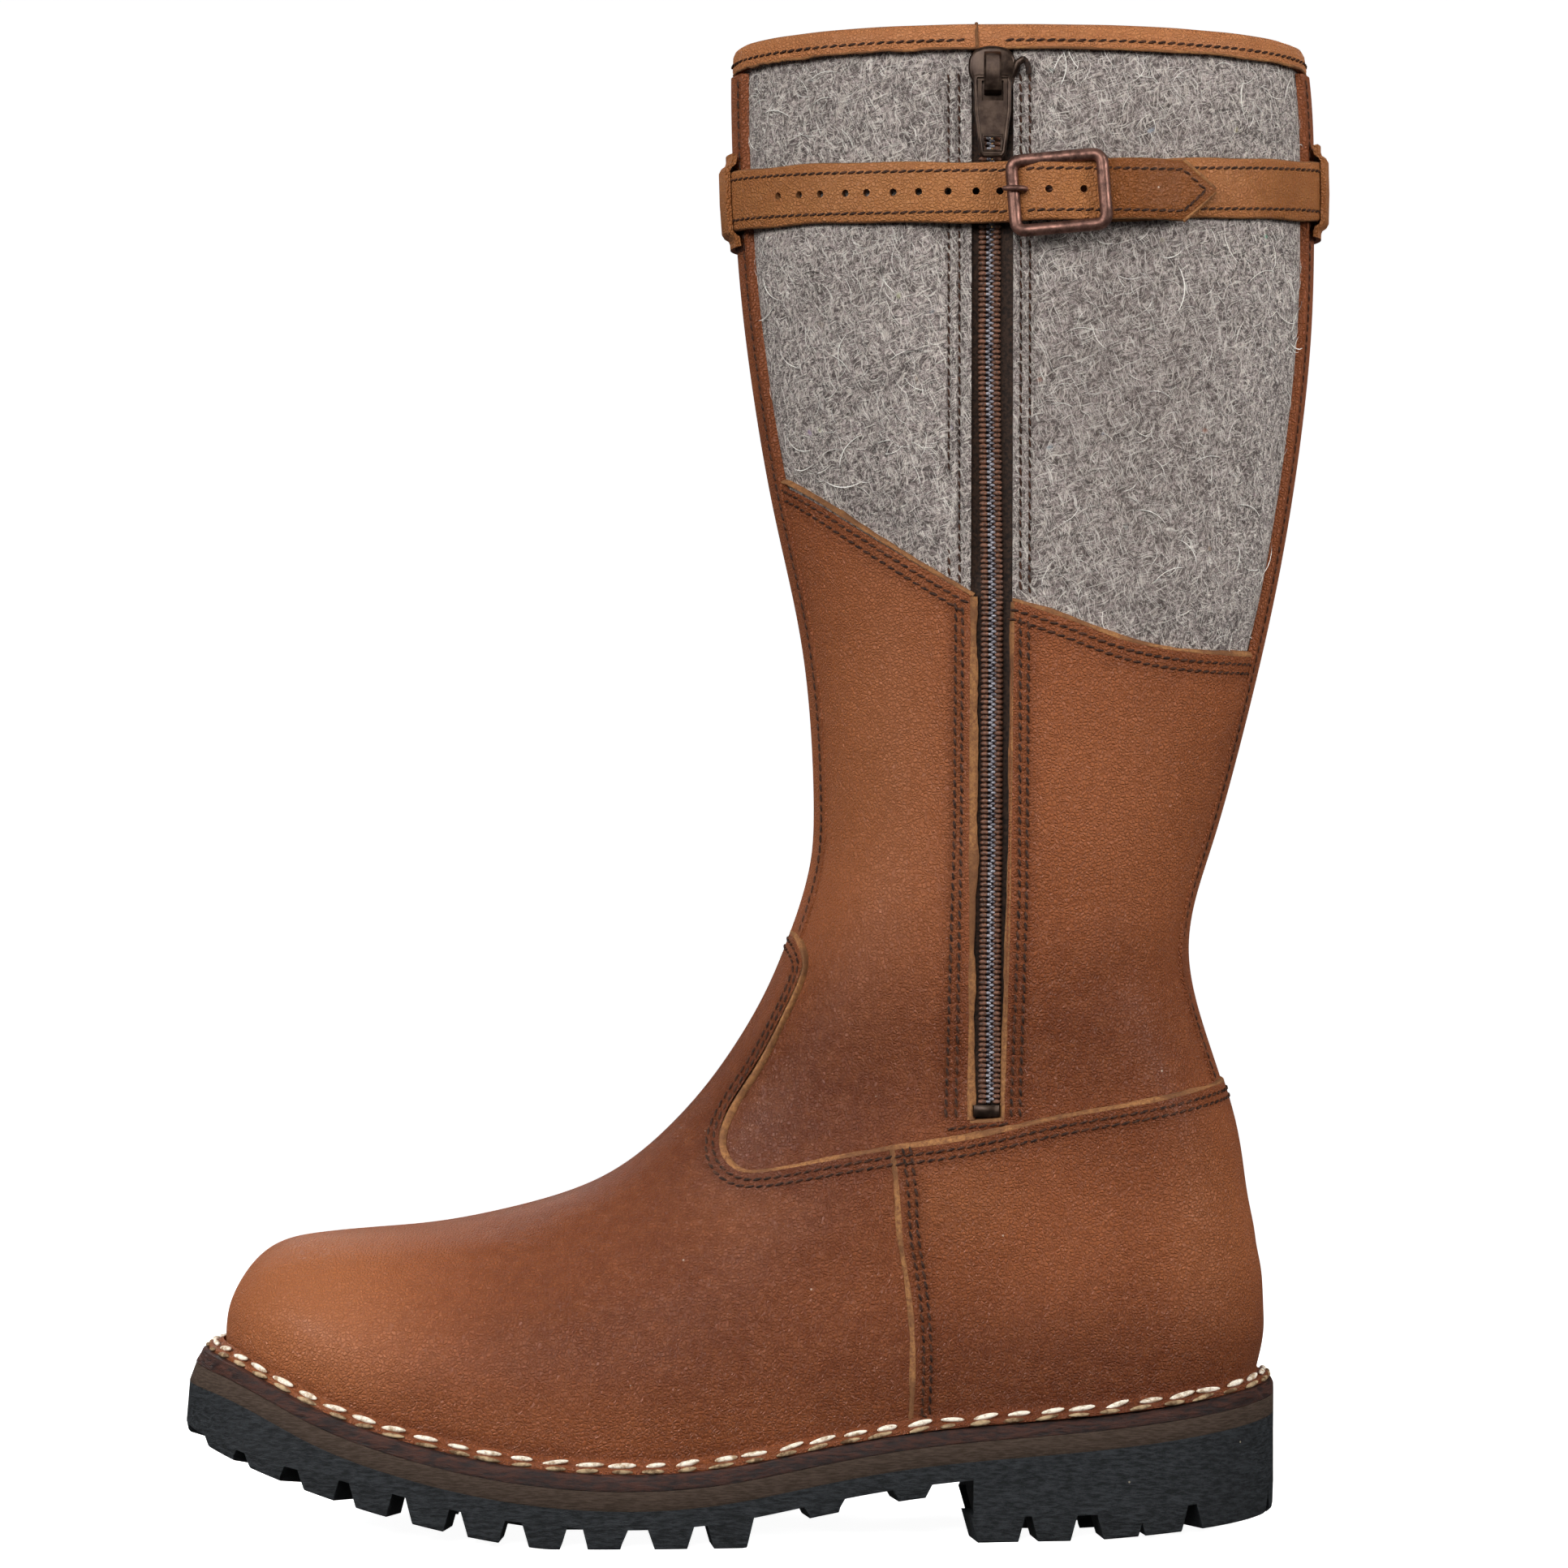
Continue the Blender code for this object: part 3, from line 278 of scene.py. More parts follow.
def smooth_line(points, pieces=8):
    """A polyline that rounds the corners between the points."""
    points = np.asarray(points, float)
    lengths = lengths_along(points)
    places = np.interp(np.arange(0, len(points) - 1 + 1e-9, 1 / pieces), range(len(points)), lengths)
    return np.stack([spline(lengths, points[:, k])(places) for k in (0, 1)], -1)


RIDGE_LEVELS = np.linspace(0, TOP, 1200)
RIDGES = {turn: form(turn, RIDGE_LEVELS) for turn in (0.0, 0.5)}


def depth_inside(line, turn):
    """How far a side-view line lies inside the front (turn 0) or back (0.5) of the boot."""
    ridge = RIDGES[turn]
    rising = ridge[:, 2].argsort()
    edge = np.interp(line[:, 1], ridge[rising, 2], ridge[rising, 0])
    return line[:, 0] - edge if turn == 0.0 else edge - line[:, 0]


def trace(points, ends=()):
    """Turns and levels along a side-view line, closed onto the front or back ridges in ends."""
    line = smooth_line(points, 12)
    inside = np.minimum(depth_inside(line, 0.0), depth_inside(line, 0.5)) > 0.4
    line = line[inside]
    turn, level = on_side(line[:, 0], line[:, 1])
    for end in ends:
        at_start = end == (0.0 if points[0][0] < points[-1][0] else 0.5)
        which, after = (0, 3) if at_start else (-1, -4)
        slope = (level[which] - level[after]) / (turn[which] - turn[after])
        reach = level[which] + slope * (end - turn[which]) * 0.5
        turn = np.insert(turn, 0, end) if at_start else np.append(turn, end)
        level = np.insert(level, 0, reach) if at_start else np.append(level, reach)
    return turn, level


print("ridges of", len(RIDGE_LEVELS), "points")

# %% [markdown]
# The boot's own pattern: the edges of its leather panels, as they lie in the side view.

# %% Pattern of the panels
# Panel edges seen from the side: the vamp from its instep tab to the counter, the counter's
# front and top, and the felt's lower edge ahead of and behind the zip
VAMP_EDGE = (
    (-2.0, 174.5), (9.0, 171.2), (13.1, 166.0), (14.3, 161.0), (13.2, 156.5), (9.0, 147.3),
    (0.3, 131.1), (-8.1, 116.7), (-9.1, 110.4), (-7.2, 105.8), (-3.0, 103.0), (2.0, 102.8),
    (11.0, 104.3), (26.1, 107.3), (39.5, 109.7),
)
COUNTER_FRONT = (
    (39.5, 109.7), (40.5, 102.5), (41.9, 83.7), (43.7, 72.2), (45.2, 55.0), (45.0, 40.0),
    (43.5, 15.0),
)
COUNTER_TOP = (
    (39.5, 109.7), (62.7, 113.0), (84.5, 117.8), (114.8, 122.9), (134.6, 126.8), (165.0, 130.5),
)
FELT_FRONT = ((-30.0, 312.0), (8.4, 296.4), (25.9, 285.6), (43.8, 274.2), (61.5, 263.8))
FELT_REAR = (
    (72.5, 262.6), (89.1, 257.3), (102.6, 252.4), (113.2, 249.8), (135.4, 247.8), (175.0, 247.8),
)
ZIP_FRONT_X = 61.2
ZIP_REAR_X = 72.8
ZIP_FOOT_Z = 116.8
print("zip slot", round(ZIP_REAR_X - ZIP_FRONT_X, 1), "mm wide")

# %% [markdown]
# Nearly every mesh starts as Blender's grid, laid on an array of places: that makes a curved
# sheet, and with its sides closed a swept bar. A finished mesh becomes a piece that rides on a
# body of the frame. The boot's middle lies a little beside the frame's.


# %% Grids and pieces
def to_world(points):
    """Metres in the frame from millimetres on the boot."""
    return (np.asarray(points, float) + (0, MIDDLE_Y, 0)) * MM


def smooth(mesh, degrees):
    """Smooth shading, broken where faces meet at more than an angle, if one is given."""
    mesh.shade_smooth()
    if degrees:
        mesh.set_sharp_from_angle(angle=math.radians(degrees))


def ride_on(body, mesh, finishes, smooth_angle):
    """Makes a piece of a mesh, in its finishes, on a body of the frame if one is named."""
    piece = bpy.data.objects.new(mesh.name, mesh)
    bpy.context.scene.collection.objects.link(piece)
    for finish in finishes:
        mesh.materials.append(finish)
    smooth(mesh, smooth_angle)
    if body:
        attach(piece, body)
        print(piece.name, len(mesh.polygons), "faces")
    return piece


def finish_piece(name, shape, finishes, smooth_angle=40, body="boot"):
    """Turns a bmesh into a piece that rides on a body of the frame."""
    mesh = bpy.data.meshes.new(name)
    shape.to_mesh(mesh)
    shape.free()
    return ride_on(body, mesh, finishes, smooth_angle)


def grid_shape(places, close_rows=False, close_columns=True, caps=True):
    """A bmesh grid laid on places in millimetres, rows by columns: a capped bar if not told else."""
    places = np.asarray(places, float)
    if close_rows:
        places = np.concatenate([places, places[:1]])
    if close_columns:
        places = np.concatenate([places, places[:, :1]], 1)
    rows, columns = places.shape[:2]
    shape = bmesh.new()
    bmesh.ops.create_grid(shape, x_segments=rows - 1, y_segments=columns - 1, size=0.5)
    at = np.array([vert.co[:2] for vert in shape.verts]) + 0.5
    row = np.rint(at[:, 0] * (rows - 1)).astype(int)
    column = np.rint(at[:, 1] * (columns - 1)).astype(int)
    for vert, point in zip(shape.verts, to_world(places[row, column])):
        vert.co = point
    if close_rows or close_columns:
        bmesh.ops.remove_doubles(shape, verts=shape.verts, dist=0.002 * MM)
    if caps:
        open_edges = [edge for edge in shape.edges if edge.is_boundary]
        bmesh.ops.holes_fill(shape, edges=open_edges, sides=0)
    if caps or (close_rows and close_columns):
        bmesh.ops.recalc_face_normals(shape, faces=shape.faces)
    return shape


print("the boot's middle lies at y", to_world((0, 0, 0))[1])

# %% [markdown]
# A seam has hundreds of stitches. One small shape is pressed into a single mesh again and again,
# turned to lie along the seam and stand off the surface, which is quicker than many objects.


# %% Stitches and other repeated shapes
def pressed(name, template, finish, places, along, out, sizes=None):
    """Copies of a template bmesh, its X along and its Z out at each place, in one mesh."""
    base = np.array([vert.co[:] for vert in template.verts])
    template.verts.index_update()
    faces = [[vert.index for vert in face.verts] for face in template.faces]
    template.free()
    x_axis = unit(np.asarray(along, float))
    z_axis = unit(out - (out * x_axis).sum(-1, keepdims=True) * x_axis)
    y_axis = np.cross(z_axis, x_axis)
    turned = np.stack([x_axis, y_axis, z_axis], -2)
    scale = np.ones((len(places), 3)) if sizes is None else np.asarray(sizes)
    copies = np.einsum("nva,nab->nvb", base[None] * scale[:, None], turned) + places[:, None]
    count = len(base)
    every = [[corner + k * count for corner in face] for k in range(len(places)) for face in faces]
    mesh = bpy.data.meshes.new(name)
    mesh.from_pydata(to_world(copies.reshape(-1, 3)).tolist(), [], every)
    return ride_on("boot", mesh, [finish], 0)


# %% [markdown]
# Leather is cut to a pattern, and so are these panels: a Boolean cuts a thick sheet with a prism
# of the pattern's outline. The new mesh loses its finishes, so they are given back.


# %% Cutting to a pattern
def cut(piece, operation, cutter):
    """Cuts a piece with another mesh object, keeps its finishes and removes the cutter."""
    finishes = list(piece.data.materials)
    step = piece.modifiers.new("cut", "BOOLEAN")
    step.operation = operation
    step.solver = "MANIFOLD"
    step.object = cutter
    made = bpy.data.meshes.new_from_object(piece.evaluated_get(bpy.context.evaluated_depsgraph_get()))
    piece.modifiers.remove(step)
    old = piece.data
    name = old.name
    piece.data = made
    bpy.data.meshes.remove(old)
    made.name = name
    bpy.data.objects.remove(cutter, do_unlink=True)
    chosen = np.empty(len(made.polygons), np.int32)
    made.polygons.foreach_get("material_index", chosen)
    made.materials.clear()
    for finish in finishes:
        made.materials.append(finish)
    made.polygons.foreach_set("material_index", chosen)


def extruded(corners, deep):
    """A ring of corners in metres, filled and extruded along Y by a depth in mm."""
    shape = bmesh.new()
    face = shape.faces.new([shape.verts.new(corner) for corner in corners])
    made = bmesh.ops.extrude_face_region(shape, geom=[face])
    back = [item for item in made["geom"] if isinstance(item, bmesh.types.BMVert)]
    bmesh.ops.translate(shape, verts=back, vec=(0, deep * MM, 0))
    bmesh.ops.recalc_face_normals(shape, faces=shape.faces)
    return shape


def side_prism(outline, y_from, y_to):
    """A cutter from a side-view outline, run across the boot. Its faces take the second finish."""
    near = np.insert(np.asarray(outline, float), 1, y_from, 1)
    shape = extruded(to_world(near), y_to - y_from)
    for face in shape.faces:
        face.material_index = 1
    return finish_piece("outline", shape, [], 0, body=None)


# %% [markdown]
# The metal parts are plates and bars. A plate is an outline extruded and bevelled, and a bar is a
# ring of points carried along a path.


# %% Plates and bars
def slab(outline, thick, rim=0.0):
    """A plate from an outline in X and Z, its edges rounded by the rim, facing -Y at y = 0."""
    shape = extruded([(x * MM, 0, z * MM) for x, z in outline], thick)
    if rim:
        edges = [edge for edge in shape.edges if all(abs(v.co.y) < 1e-7 for v in edge.verts)]
        bmesh.ops.bevel(
            shape, geom=edges, offset=rim * MM, segments=3, profile=0.5, affect="EDGES", material=-1
        )
    return shape


def tube(points, radius, sides=8, closed=False):
    """A round bar along a path in millimetres, as a bmesh. The radius may change along it."""
    points = np.asarray(points, float)
    radius = np.broadcast_to(radius, len(points))
    along = unit(np.gradient(points, axis=0))
    if closed:
        along = unit(np.roll(points, -1, 0) - np.roll(points, 1, 0))
    aside = np.eye(3)[np.abs(along).max(0).argmin()]
    first = unit(np.cross(along, aside))
    second = np.cross(along, first)
    angle = np.arange(sides) * 2 * math.pi / sides
    ring = first[:, None] * np.cos(angle)[:, None] + second[:, None] * np.sin(angle)[:, None]
    places = points[:, None] + ring * radius[:, None, None]
    return grid_shape(places, close_rows=closed, caps=not closed)


def join_shapes(shapes):
    """One bmesh from several."""
    whole = bmesh.new()
    for shape in shapes:
        part = bpy.data.meshes.new("part")
        shape.to_mesh(part)
        shape.free()
        whole.from_mesh(part)
        bpy.data.meshes.remove(part)
    return whole


print("helpers ready")

# %% [markdown]
# Materials are built from nodes by one small function. Colours are written as they look on a
# screen, in hex, and turned to the linear values that light works in. Patterns are sized in
# millimetres: a noise scale is one over the size of its patches.

# %% Colour and node helpers
# Settings of the two nodes that are used most: a soft step between two values, a mix of colours
STEP = {"interpolation_type": "SMOOTHSTEP"}
TINT = {"data_type": "RGBA"}


def ink(code):
    """Linear colour from an sRGB hex value."""
    values = [int(code[i : i + 2], 16) / 255 for i in (1, 3, 5)]
    return (*[v / 12.92 if v <= 0.04045 else ((v + 0.055) / 1.055) ** 2.4 for v in values], 1)


def per_mm(size):
    """Texture scale that gives patches of a size in millimetres."""
    return 1000.0 / size


def add(tree, kind, inputs=(), out=None, **settings):
    """Adds a node with its settings, fills or links its inputs by name or in order, gives an output."""
    made = tree.nodes.new("ShaderNode" + kind)
    for name, value in settings.items():
        setattr(made, name, value)
    sockets = [socket for socket in made.inputs if socket.enabled]
    if isinstance(inputs, dict):
        sockets = [made.inputs[name] for name in inputs]
        inputs = inputs.values()
    for socket, value in zip(sockets, inputs):
        if isinstance(value, bpy.types.NodeSocket):
            tree.links.new(value, socket)
        else:
            socket.default_value = value
    return made.outputs[out] if out else next(socket for socket in made.outputs if socket.enabled)


def new_finish(name, **sockets):
    """A material with its Principled shader's plain values set, its tree and Object coordinates."""
    made = bpy.data.materials.new(name)
    made.use_nodes = True
    tree = made.node_tree
    shader = tree.nodes["Principled BSDF"]
    for socket, value in sockets.items():
        shader.inputs[socket.replace("_", " ")].default_value = value
    return made, tree, shader, add(tree, "TexCoord", out="Object")


print("half grey on a screen reflects", round(ink("#808080")[0], 3), "of the light")

# %% [markdown]
# The upper is oiled full-grain cowhide, drum-dyed cognac and waxed by hand: a fine pebbled grain,
# cloudy tone and a soft sheen. Soft patches, each with a place and a reach, deepen or pale its colour.
# They are partly patina, wax darkened in the hollows, and partly painted shade and painted highlight:
# darker at ankle, heel and foot where light falls off, paler on toe and shaft front where it falls.

# %% Patina and painted shade
# Patina, painted shade and painted highlight, in soft patches of colour
# Seen from the side: middle x and z, reach along and up, and how much darker, or paler if negative
BOOT_PAINTED_SHADE_AND_PATINA = (
    (12, 122, 50, 38, 0.84), (98, 138, 42, 28, 0.60), (95, 44, 64, 22, 0.72), (0, 50, 75, 18, 0.42),
    (-33, 80, 58, 34, 0.55), (-126, 62, 30, 30, -0.50), (38, 215, 20, 60, -0.45),
    (130, 85, 14, 26, -0.25), (100, 215, 30, 40, -0.15), (58, 96, 16, 12, -0.25),
    (-5, 92, 16, 10, -0.20), (38, 150, 18, 26, 0.35), (-20, 100, 26, 20, 0.35),
)
# On the strap, a painted highlight along its middle and painted shade at its ends by the boot's front and
# back
STRAP_PAINTED_SHADE_AND_HIGHLIGHT = ((40, 376, 40, 10, -0.15), (152, 377, 10, 10, 0.3), (-2, 377, 8, 10, 0.2))
# Shares of a patch's reach where it is still full, and where it has faded out
PATCH_FADE = (0.1, 1.7)


def patched(tree, place, colour, patches, pale, deep):
    """A colour with soft paler or deeper patches in the side view: painted shade, highlight and patina.
    """
    for x, z, along, high, share in patches:
        spread = (per_mm(along), 0.0, per_mm(high))
        middle = (-x / along, 0.0, -z / high)
        patch = add(tree, "VectorMath", (place, spread, middle), operation="MULTIPLY_ADD")
        far = add(tree, "VectorMath", (patch,), operation="LENGTH")
        near = add(tree, "MapRange", (far, *PATCH_FADE, abs(share), 0.0), **STEP)
        colour = add(tree, "Mix", (near, colour, ink(deep if share > 0 else pale)), **TINT)
    return colour


print("patches on the boot", len(BOOT_PAINTED_SHADE_AND_PATINA), "and on the strap", len(STRAP_PAINTED_SHADE_AND_HIGHLIGHT))

# %% [markdown]
# The hide is a stack of layers over one body colour. Noise gives clouds, flecks and rubs. A Voronoi
# pattern bent by noise gives the pebbles, high on their crowns and low in the creases. The real
# grain is 0.6 mm wide and is drawn at 1 mm so that it shows at this distance.

# %% Leather
GRAIN_MM = 1.0
# Attribute that holds how near a seam or the welt a point of a panel lies, where the colour deepens:
# painted shade, and the wax and dirt that gather there
SEAM_SHADE = "seam_shade"


def leather(name, body, pale, deep, rough=0.46, rubs=0.45, painted_shade_and_patina=()):
    """An oiled hide in a body colour, paler rubs, painted shade in creases and patches, and patina."""
    made, tree, shader, place = new_finish(
        name, Specular_IOR_Level=0.22, Coat_Weight=0.02, Coat_Roughness=0.28
    )
    clouds = add(tree, "TexNoise", {"Vector": place, "Scale": per_mm(48), "Detail": 4, "Roughness": 0.5})
    flecks = add(tree, "TexNoise", {"Vector": place, "Scale": per_mm(4), "Detail": 5, "Roughness": 0.65})
    waxed = add(tree, "MapRange", (clouds, 0.30, 0.62, 0.30, 0.0), **STEP)
    colour = add(tree, "Mix", (waxed, ink(body), ink(deep)), **TINT)
    colour = patched(tree, place, colour, painted_shade_and_patina, pale, deep)
    flecked = add(tree, "MapRange", (flecks, 0.35, 0.75, 0.0, 0.16), **STEP)

    wander = add(tree, "TexNoise", {"Vector": place, "Scale": per_mm(3), "Detail": 2}, out="Color")
    offset = add(tree, "VectorMath", (wander, (0.9 * MM,) * 3), operation="MULTIPLY")
    bent = add(tree, "VectorMath", (place, offset), operation="ADD")
    pebbles = {"Vector": bent, "Scale": per_mm(GRAIN_MM)}
    from_crease = add(tree, "TexVoronoi", pebbles, feature="DISTANCE_TO_EDGE")
    crown = add(tree, "MapRange", (from_crease, 0.0, 0.25), **STEP)
    # Painted shade: the colour deepens in the grain's creases
    crease_painted_shade = add(tree, "MapRange", (crown, 0.0, 0.8, 0.25, 0.0), **STEP)

    # Painted shade near seams and above the welt, with the wax and dirt that gather there
    near_seam = add(tree, "Attribute", out="Fac", attribute_name=SEAM_SHADE)
    seam_dirt_and_painted_shade = add(tree, "MapRange", (near_seam, 0.05, 1.0, 0.0, 0.30), **STEP)
    worn = add(tree, "TexNoise", {"Vector": place, "Scale": per_mm(17), "Detail": 7, "Roughness": 0.72})
    rubbed = add(tree, "MapRange", (worn, 0.66, 0.80, 0.0, rubs), **STEP)
    dust = add(tree, "TexVoronoi", {"Vector": place, "Scale": per_mm(17), "Randomness": 1.0})
    speck = add(tree, "MapRange", (dust, 0.012, 0.022, 0.5, 0.0), **STEP)
    layers = ((flecked, pale), (crease_painted_shade, deep), (seam_dirt_and_painted_shade, deep), (rubbed, pale), (speck, "#d8c8b4"))
    for share, tint in layers:
        colour = add(tree, "Mix", (share, colour, ink(tint)), **TINT)
    tree.links.new(colour, shader.inputs["Base Color"])

    gloss = add(tree, "Math", (clouds, 0.22, rough - 0.11), operation="MULTIPLY_ADD")
    dull = add(tree, "Math", (rubbed, 0.25, gloss), operation="MULTIPLY_ADD")
    tree.links.new(dull, shader.inputs["Roughness"])
    fine = add(tree, "TexNoise", {"Vector": place, "Scale": per_mm(0.6), "Detail": 3, "Roughness": 0.6})
    height = add(tree, "Math", (fine, 0.45, crown), operation="MULTIPLY_ADD")
    relief = add(tree, "Bump", {"Strength": 0.75, "Distance": 0.42 * MM, "Height": height})
    tree.links.new(relief, shader.inputs["Normal"])
    return made


print("leather grain", GRAIN_MM, "mm wide")

# %% [markdown]
# Five hides are cut for this boot: oiled cowhide for foot and shaft, a lighter one for the strap,
# whose handled end has darkened, a thin pale one for the collar, and for the lining bark-tanned
# calfskin, unwaxed and so the palest and dullest.

# %% The boot's hides
cowhide = leather("oiled_cowhide", "#8f502e", "#ae6c42", "#52240f", rough=0.45, painted_shade_and_patina=BOOT_PAINTED_SHADE_AND_PATINA)
strap_hide = leather(
    "strap_cowhide", "#a3673b", "#c08a52", "#75421f", rough=0.5, rubs=0.5, painted_shade_and_patina=STRAP_PAINTED_SHADE_AND_HIGHLIGHT
)
strap_end_hide = leather("strap_end_cowhide", "#804a22", "#9c6033", "#5a2f12", rough=0.46)
collar_hide = leather("collar_cowhide", "#b57447", "#cf9764", "#8a5330", rough=0.5)
lining_hide = leather("lining_calfskin", "#b08a5e", "#c4a274", "#96724a", rough=0.62)
hides = (cowhide, strap_hide, strap_end_hide, collar_hide, lining_hide)
print("hides", [hide.name for hide in hides])

# %% [markdown]
# The other finishes of the boot are simpler: two tones in soft patches, some with a relief, a
# change of gloss or a second pattern on top. One function makes them all from a short line each.


# %% Finishes in two tones
def mottled(
    name, grain, detail, dark, light, step=(0.35, 0.65), uneven=0.5, over=(), bump=(), dull=(), **sockets
):
    """A finish of two tones in patches of a grain in mm, one number or one for each axis.

    Over it may lie a second pattern: its node, spacing, settings, step and tint. The bump is a
    strength and a depth in mm, and dull is a step of the pattern to roughness.
    """
    made, tree, shader, place = new_finish(name, **sockets)
    pattern = {"Vector": place, "Scale": 1.0, "Detail": detail, "Roughness": uneven}
    if isinstance(grain, tuple):
        sizes = [per_mm(size) for size in grain]
        pattern["Vector"] = add(tree, "Mapping", {"Vector": place, "Scale": sizes})
    else:
        pattern["Scale"] = per_mm(grain)
    tone = add(tree, "TexNoise", pattern)
    share = add(tree, "MapRange", (tone, *step), **STEP)
    colour = add(tree, "Mix", (share, ink(dark), ink(light)), **TINT)
    if over:
        kind, spacing, settings, over_step, tint = over
        second = add(tree, kind, {"Vector": place, "Scale": per_mm(spacing), **settings})
        share = add(tree, "MapRange", (second, *over_step), **STEP)
        colour = add(tree, "Mix", (share, colour, ink(tint)), **TINT)
    tree.links.new(colour, shader.inputs["Base Color"])
    if dull:
        tree.links.new(add(tree, "MapRange", (tone, *dull), **STEP), shader.inputs["Roughness"])
    if bump:
        strength, depth = bump
        relief = add(tree, "Bump", {"Strength": strength, "Distance": depth * MM, "Height": tone})
        tree.links.new(relief, shader.inputs["Normal"])
    print("finish", name)
    return made


# %% [markdown]
# Where leather is cut with a knife its fibres show: paler than the grain side, dull and a little
# furry, and darker where wax or dirt has got in.

# %% Cut leather edge
raw_edge = mottled(
    "cut_leather_edge", 1.1, 5, "#6f4529", "#a37243", (0.32, 0.68), 0.75,
    over=("TexNoise", 14, {"Detail": 3}, (0.42, 0.66, 0.0, 0.75), "#5f3b22"),
    bump=(0.8, 0.4), Roughness=0.85, IOR=1.4,
)

# %% [markdown]
# The shaft's felt is loden: wool of grey, white and dark fleeces, felted and left undyed. From near
# it breaks up into fibres that lie every way. Stretched noise gives them: each layer is turned and
# bent, and only its crests show as hairs. Real fibres are 0.03 mm wide. They are drawn ten times as
# wide and more, so that they show at this distance.

# %% Loden felt
# Fibre layers: slant in degrees, length and width in mm, tint, and how rare they are
FIBRE_LAYERS = (
    (12, 3.6, 0.38, "#4b433f", 0.55), (48, 4.4, 0.36, "#d2c8be", 0.57),
    (80, 3.6, 0.36, "#564e49", 0.56), (118, 4.4, 0.36, "#c6bab0", 0.57),
    (155, 3.6, 0.34, "#49413d", 0.57), (-20, 6.5, 0.32, "#ede5db", 0.61),
    (66, 6.5, 0.32, "#f1eae1", 0.61), (100, 5.5, 0.32, "#e4dad0", 0.61),
)
FIBRE_DEPTH = 1.5
# Painted shade: darker patches of the felt behind the zip, where it turns from the light, written as
# the leather's patches are
FELT_PAINTED_SHADE = ((105, 312, 30, 62, 0.26), (110, 398, 34, 14, 0.12))
felt, tree, shader, place = new_finish(
    "grey_loden_felt", Roughness=0.95, Specular_IOR_Level=0.08, Sheen_Weight=0.08
)
bend = add(tree, "TexNoise", {"Vector": place, "Scale": per_mm(6), "Detail": 1}, out="Color")
offset = add(tree, "VectorMath", (bend, (3.5 * MM,) * 3), operation="MULTIPLY")
bent = add(tree, "VectorMath", (place, offset), operation="ADD")
fleeces = add(tree, "TexNoise", {"Vector": place, "Scale": per_mm(8), "Detail": 6, "Roughness": 0.65})
clumps = add(tree, "TexNoise", {"Vector": place, "Scale": per_mm(1.3), "Detail": 4, "Roughness": 0.7})
pale_fleece = add(tree, "MapRange", (fleeces, 0.32, 0.68), **STEP)
colour = add(tree, "Mix", (pale_fleece, ink("#796e6b"), ink("#a79995")), **TINT)
dark_clump = add(tree, "MapRange", (clumps, 0.37, 0.49, 0.9, 0.0), **STEP)
colour = add(tree, "Mix", (dark_clump, colour, ink("#453c3a")), **TINT)
pale_clump = add(tree, "MapRange", (clumps, 0.51, 0.63, 0.0, 0.8), **STEP)
colour = add(tree, "Mix", (pale_clump, colour, ink("#cdc1bb")), **TINT)
lifted = clumps
for slant, long, wide, tint, rare in FIBRE_LAYERS:
    size = (long * MM, FIBRE_DEPTH * MM, wide * MM)
    lie = {"Vector": bent, "Rotation": (0, math.radians(slant), 0), "Scale": size}
    turned = add(tree, "Mapping", lie, vector_type="TEXTURE")
    fibre = add(tree, "TexNoise", {"Vector": turned, "Scale": 1.0, "Detail": 1, "Roughness": 0.4})
    crest = add(tree, "MapRange", (fibre, rare, rare + 0.07, 0.0, 0.62), **STEP)
    colour = add(tree, "Mix", (crest, colour, ink(tint)), **TINT)
    lifted = add(tree, "Math", (crest, 0.4, lifted), operation="MULTIPLY_ADD")
colour = patched(tree, place, colour, FELT_PAINTED_SHADE, "#a8a09c", "#574c45")
tuft = add(tree, "TexVoronoi", {"Vector": bent, "Scale": per_mm(12), "Randomness": 1.0})
small = add(tree, "MapRange", (tuft, 0.03, 0.10, 0.45, 0.0), **STEP)
dyed = {"Color": tuft.node.outputs["Color"], "Saturation": 0.9, "Value": 0.5}
colour = add(tree, "Mix", (small, colour, add(tree, "HueSaturation", dyed)), **TINT)
tree.links.new(colour, shader.inputs["Base Color"])
nap = add(tree, "Bump", {"Strength": 0.8, "Distance": 0.8 * MM, "Height": lifted})
tree.links.new(nap, shader.inputs["Normal"])
print(felt.name, "with", len(FIBRE_LAYERS), "fibre layers")

# %% [markdown]
# Sewing thread is bonded nylon, twisted and waxed: dark brown with a dull gleam. The sole is sewn
# with thick linen thread, off-white with dirt in its twist. Its outer row is soiled all through.

# %% Threads
sewing_thread = mottled(
    "brown_bonded_thread", 0.9, 2, "#20120b", "#4a2d1e", Roughness=0.6, Specular_IOR_Level=0.2
)
sole_thread = mottled(
    "waxed_linen_thread", 2.2, 4, "#a3886a", "#ece3d2", (0.34, 0.58), 0.7, bump=(0.6, 0.3),
    Roughness=0.75, Specular_IOR_Level=0.2,
)
soiled_thread = mottled(
    "soiled_linen_thread", 3.0, 4, "#5a4029", "#b39a78", (0.36, 0.64), 0.7,
    Roughness=0.8, Specular_IOR_Level=0.2,
)

# %% [markdown]
# A boot is never as smooth as its last. Soft hollows, where leather folds, and swells, where a foot
# pushes from within, could be sculpted. As a table, every panel, seam and edge can follow them.

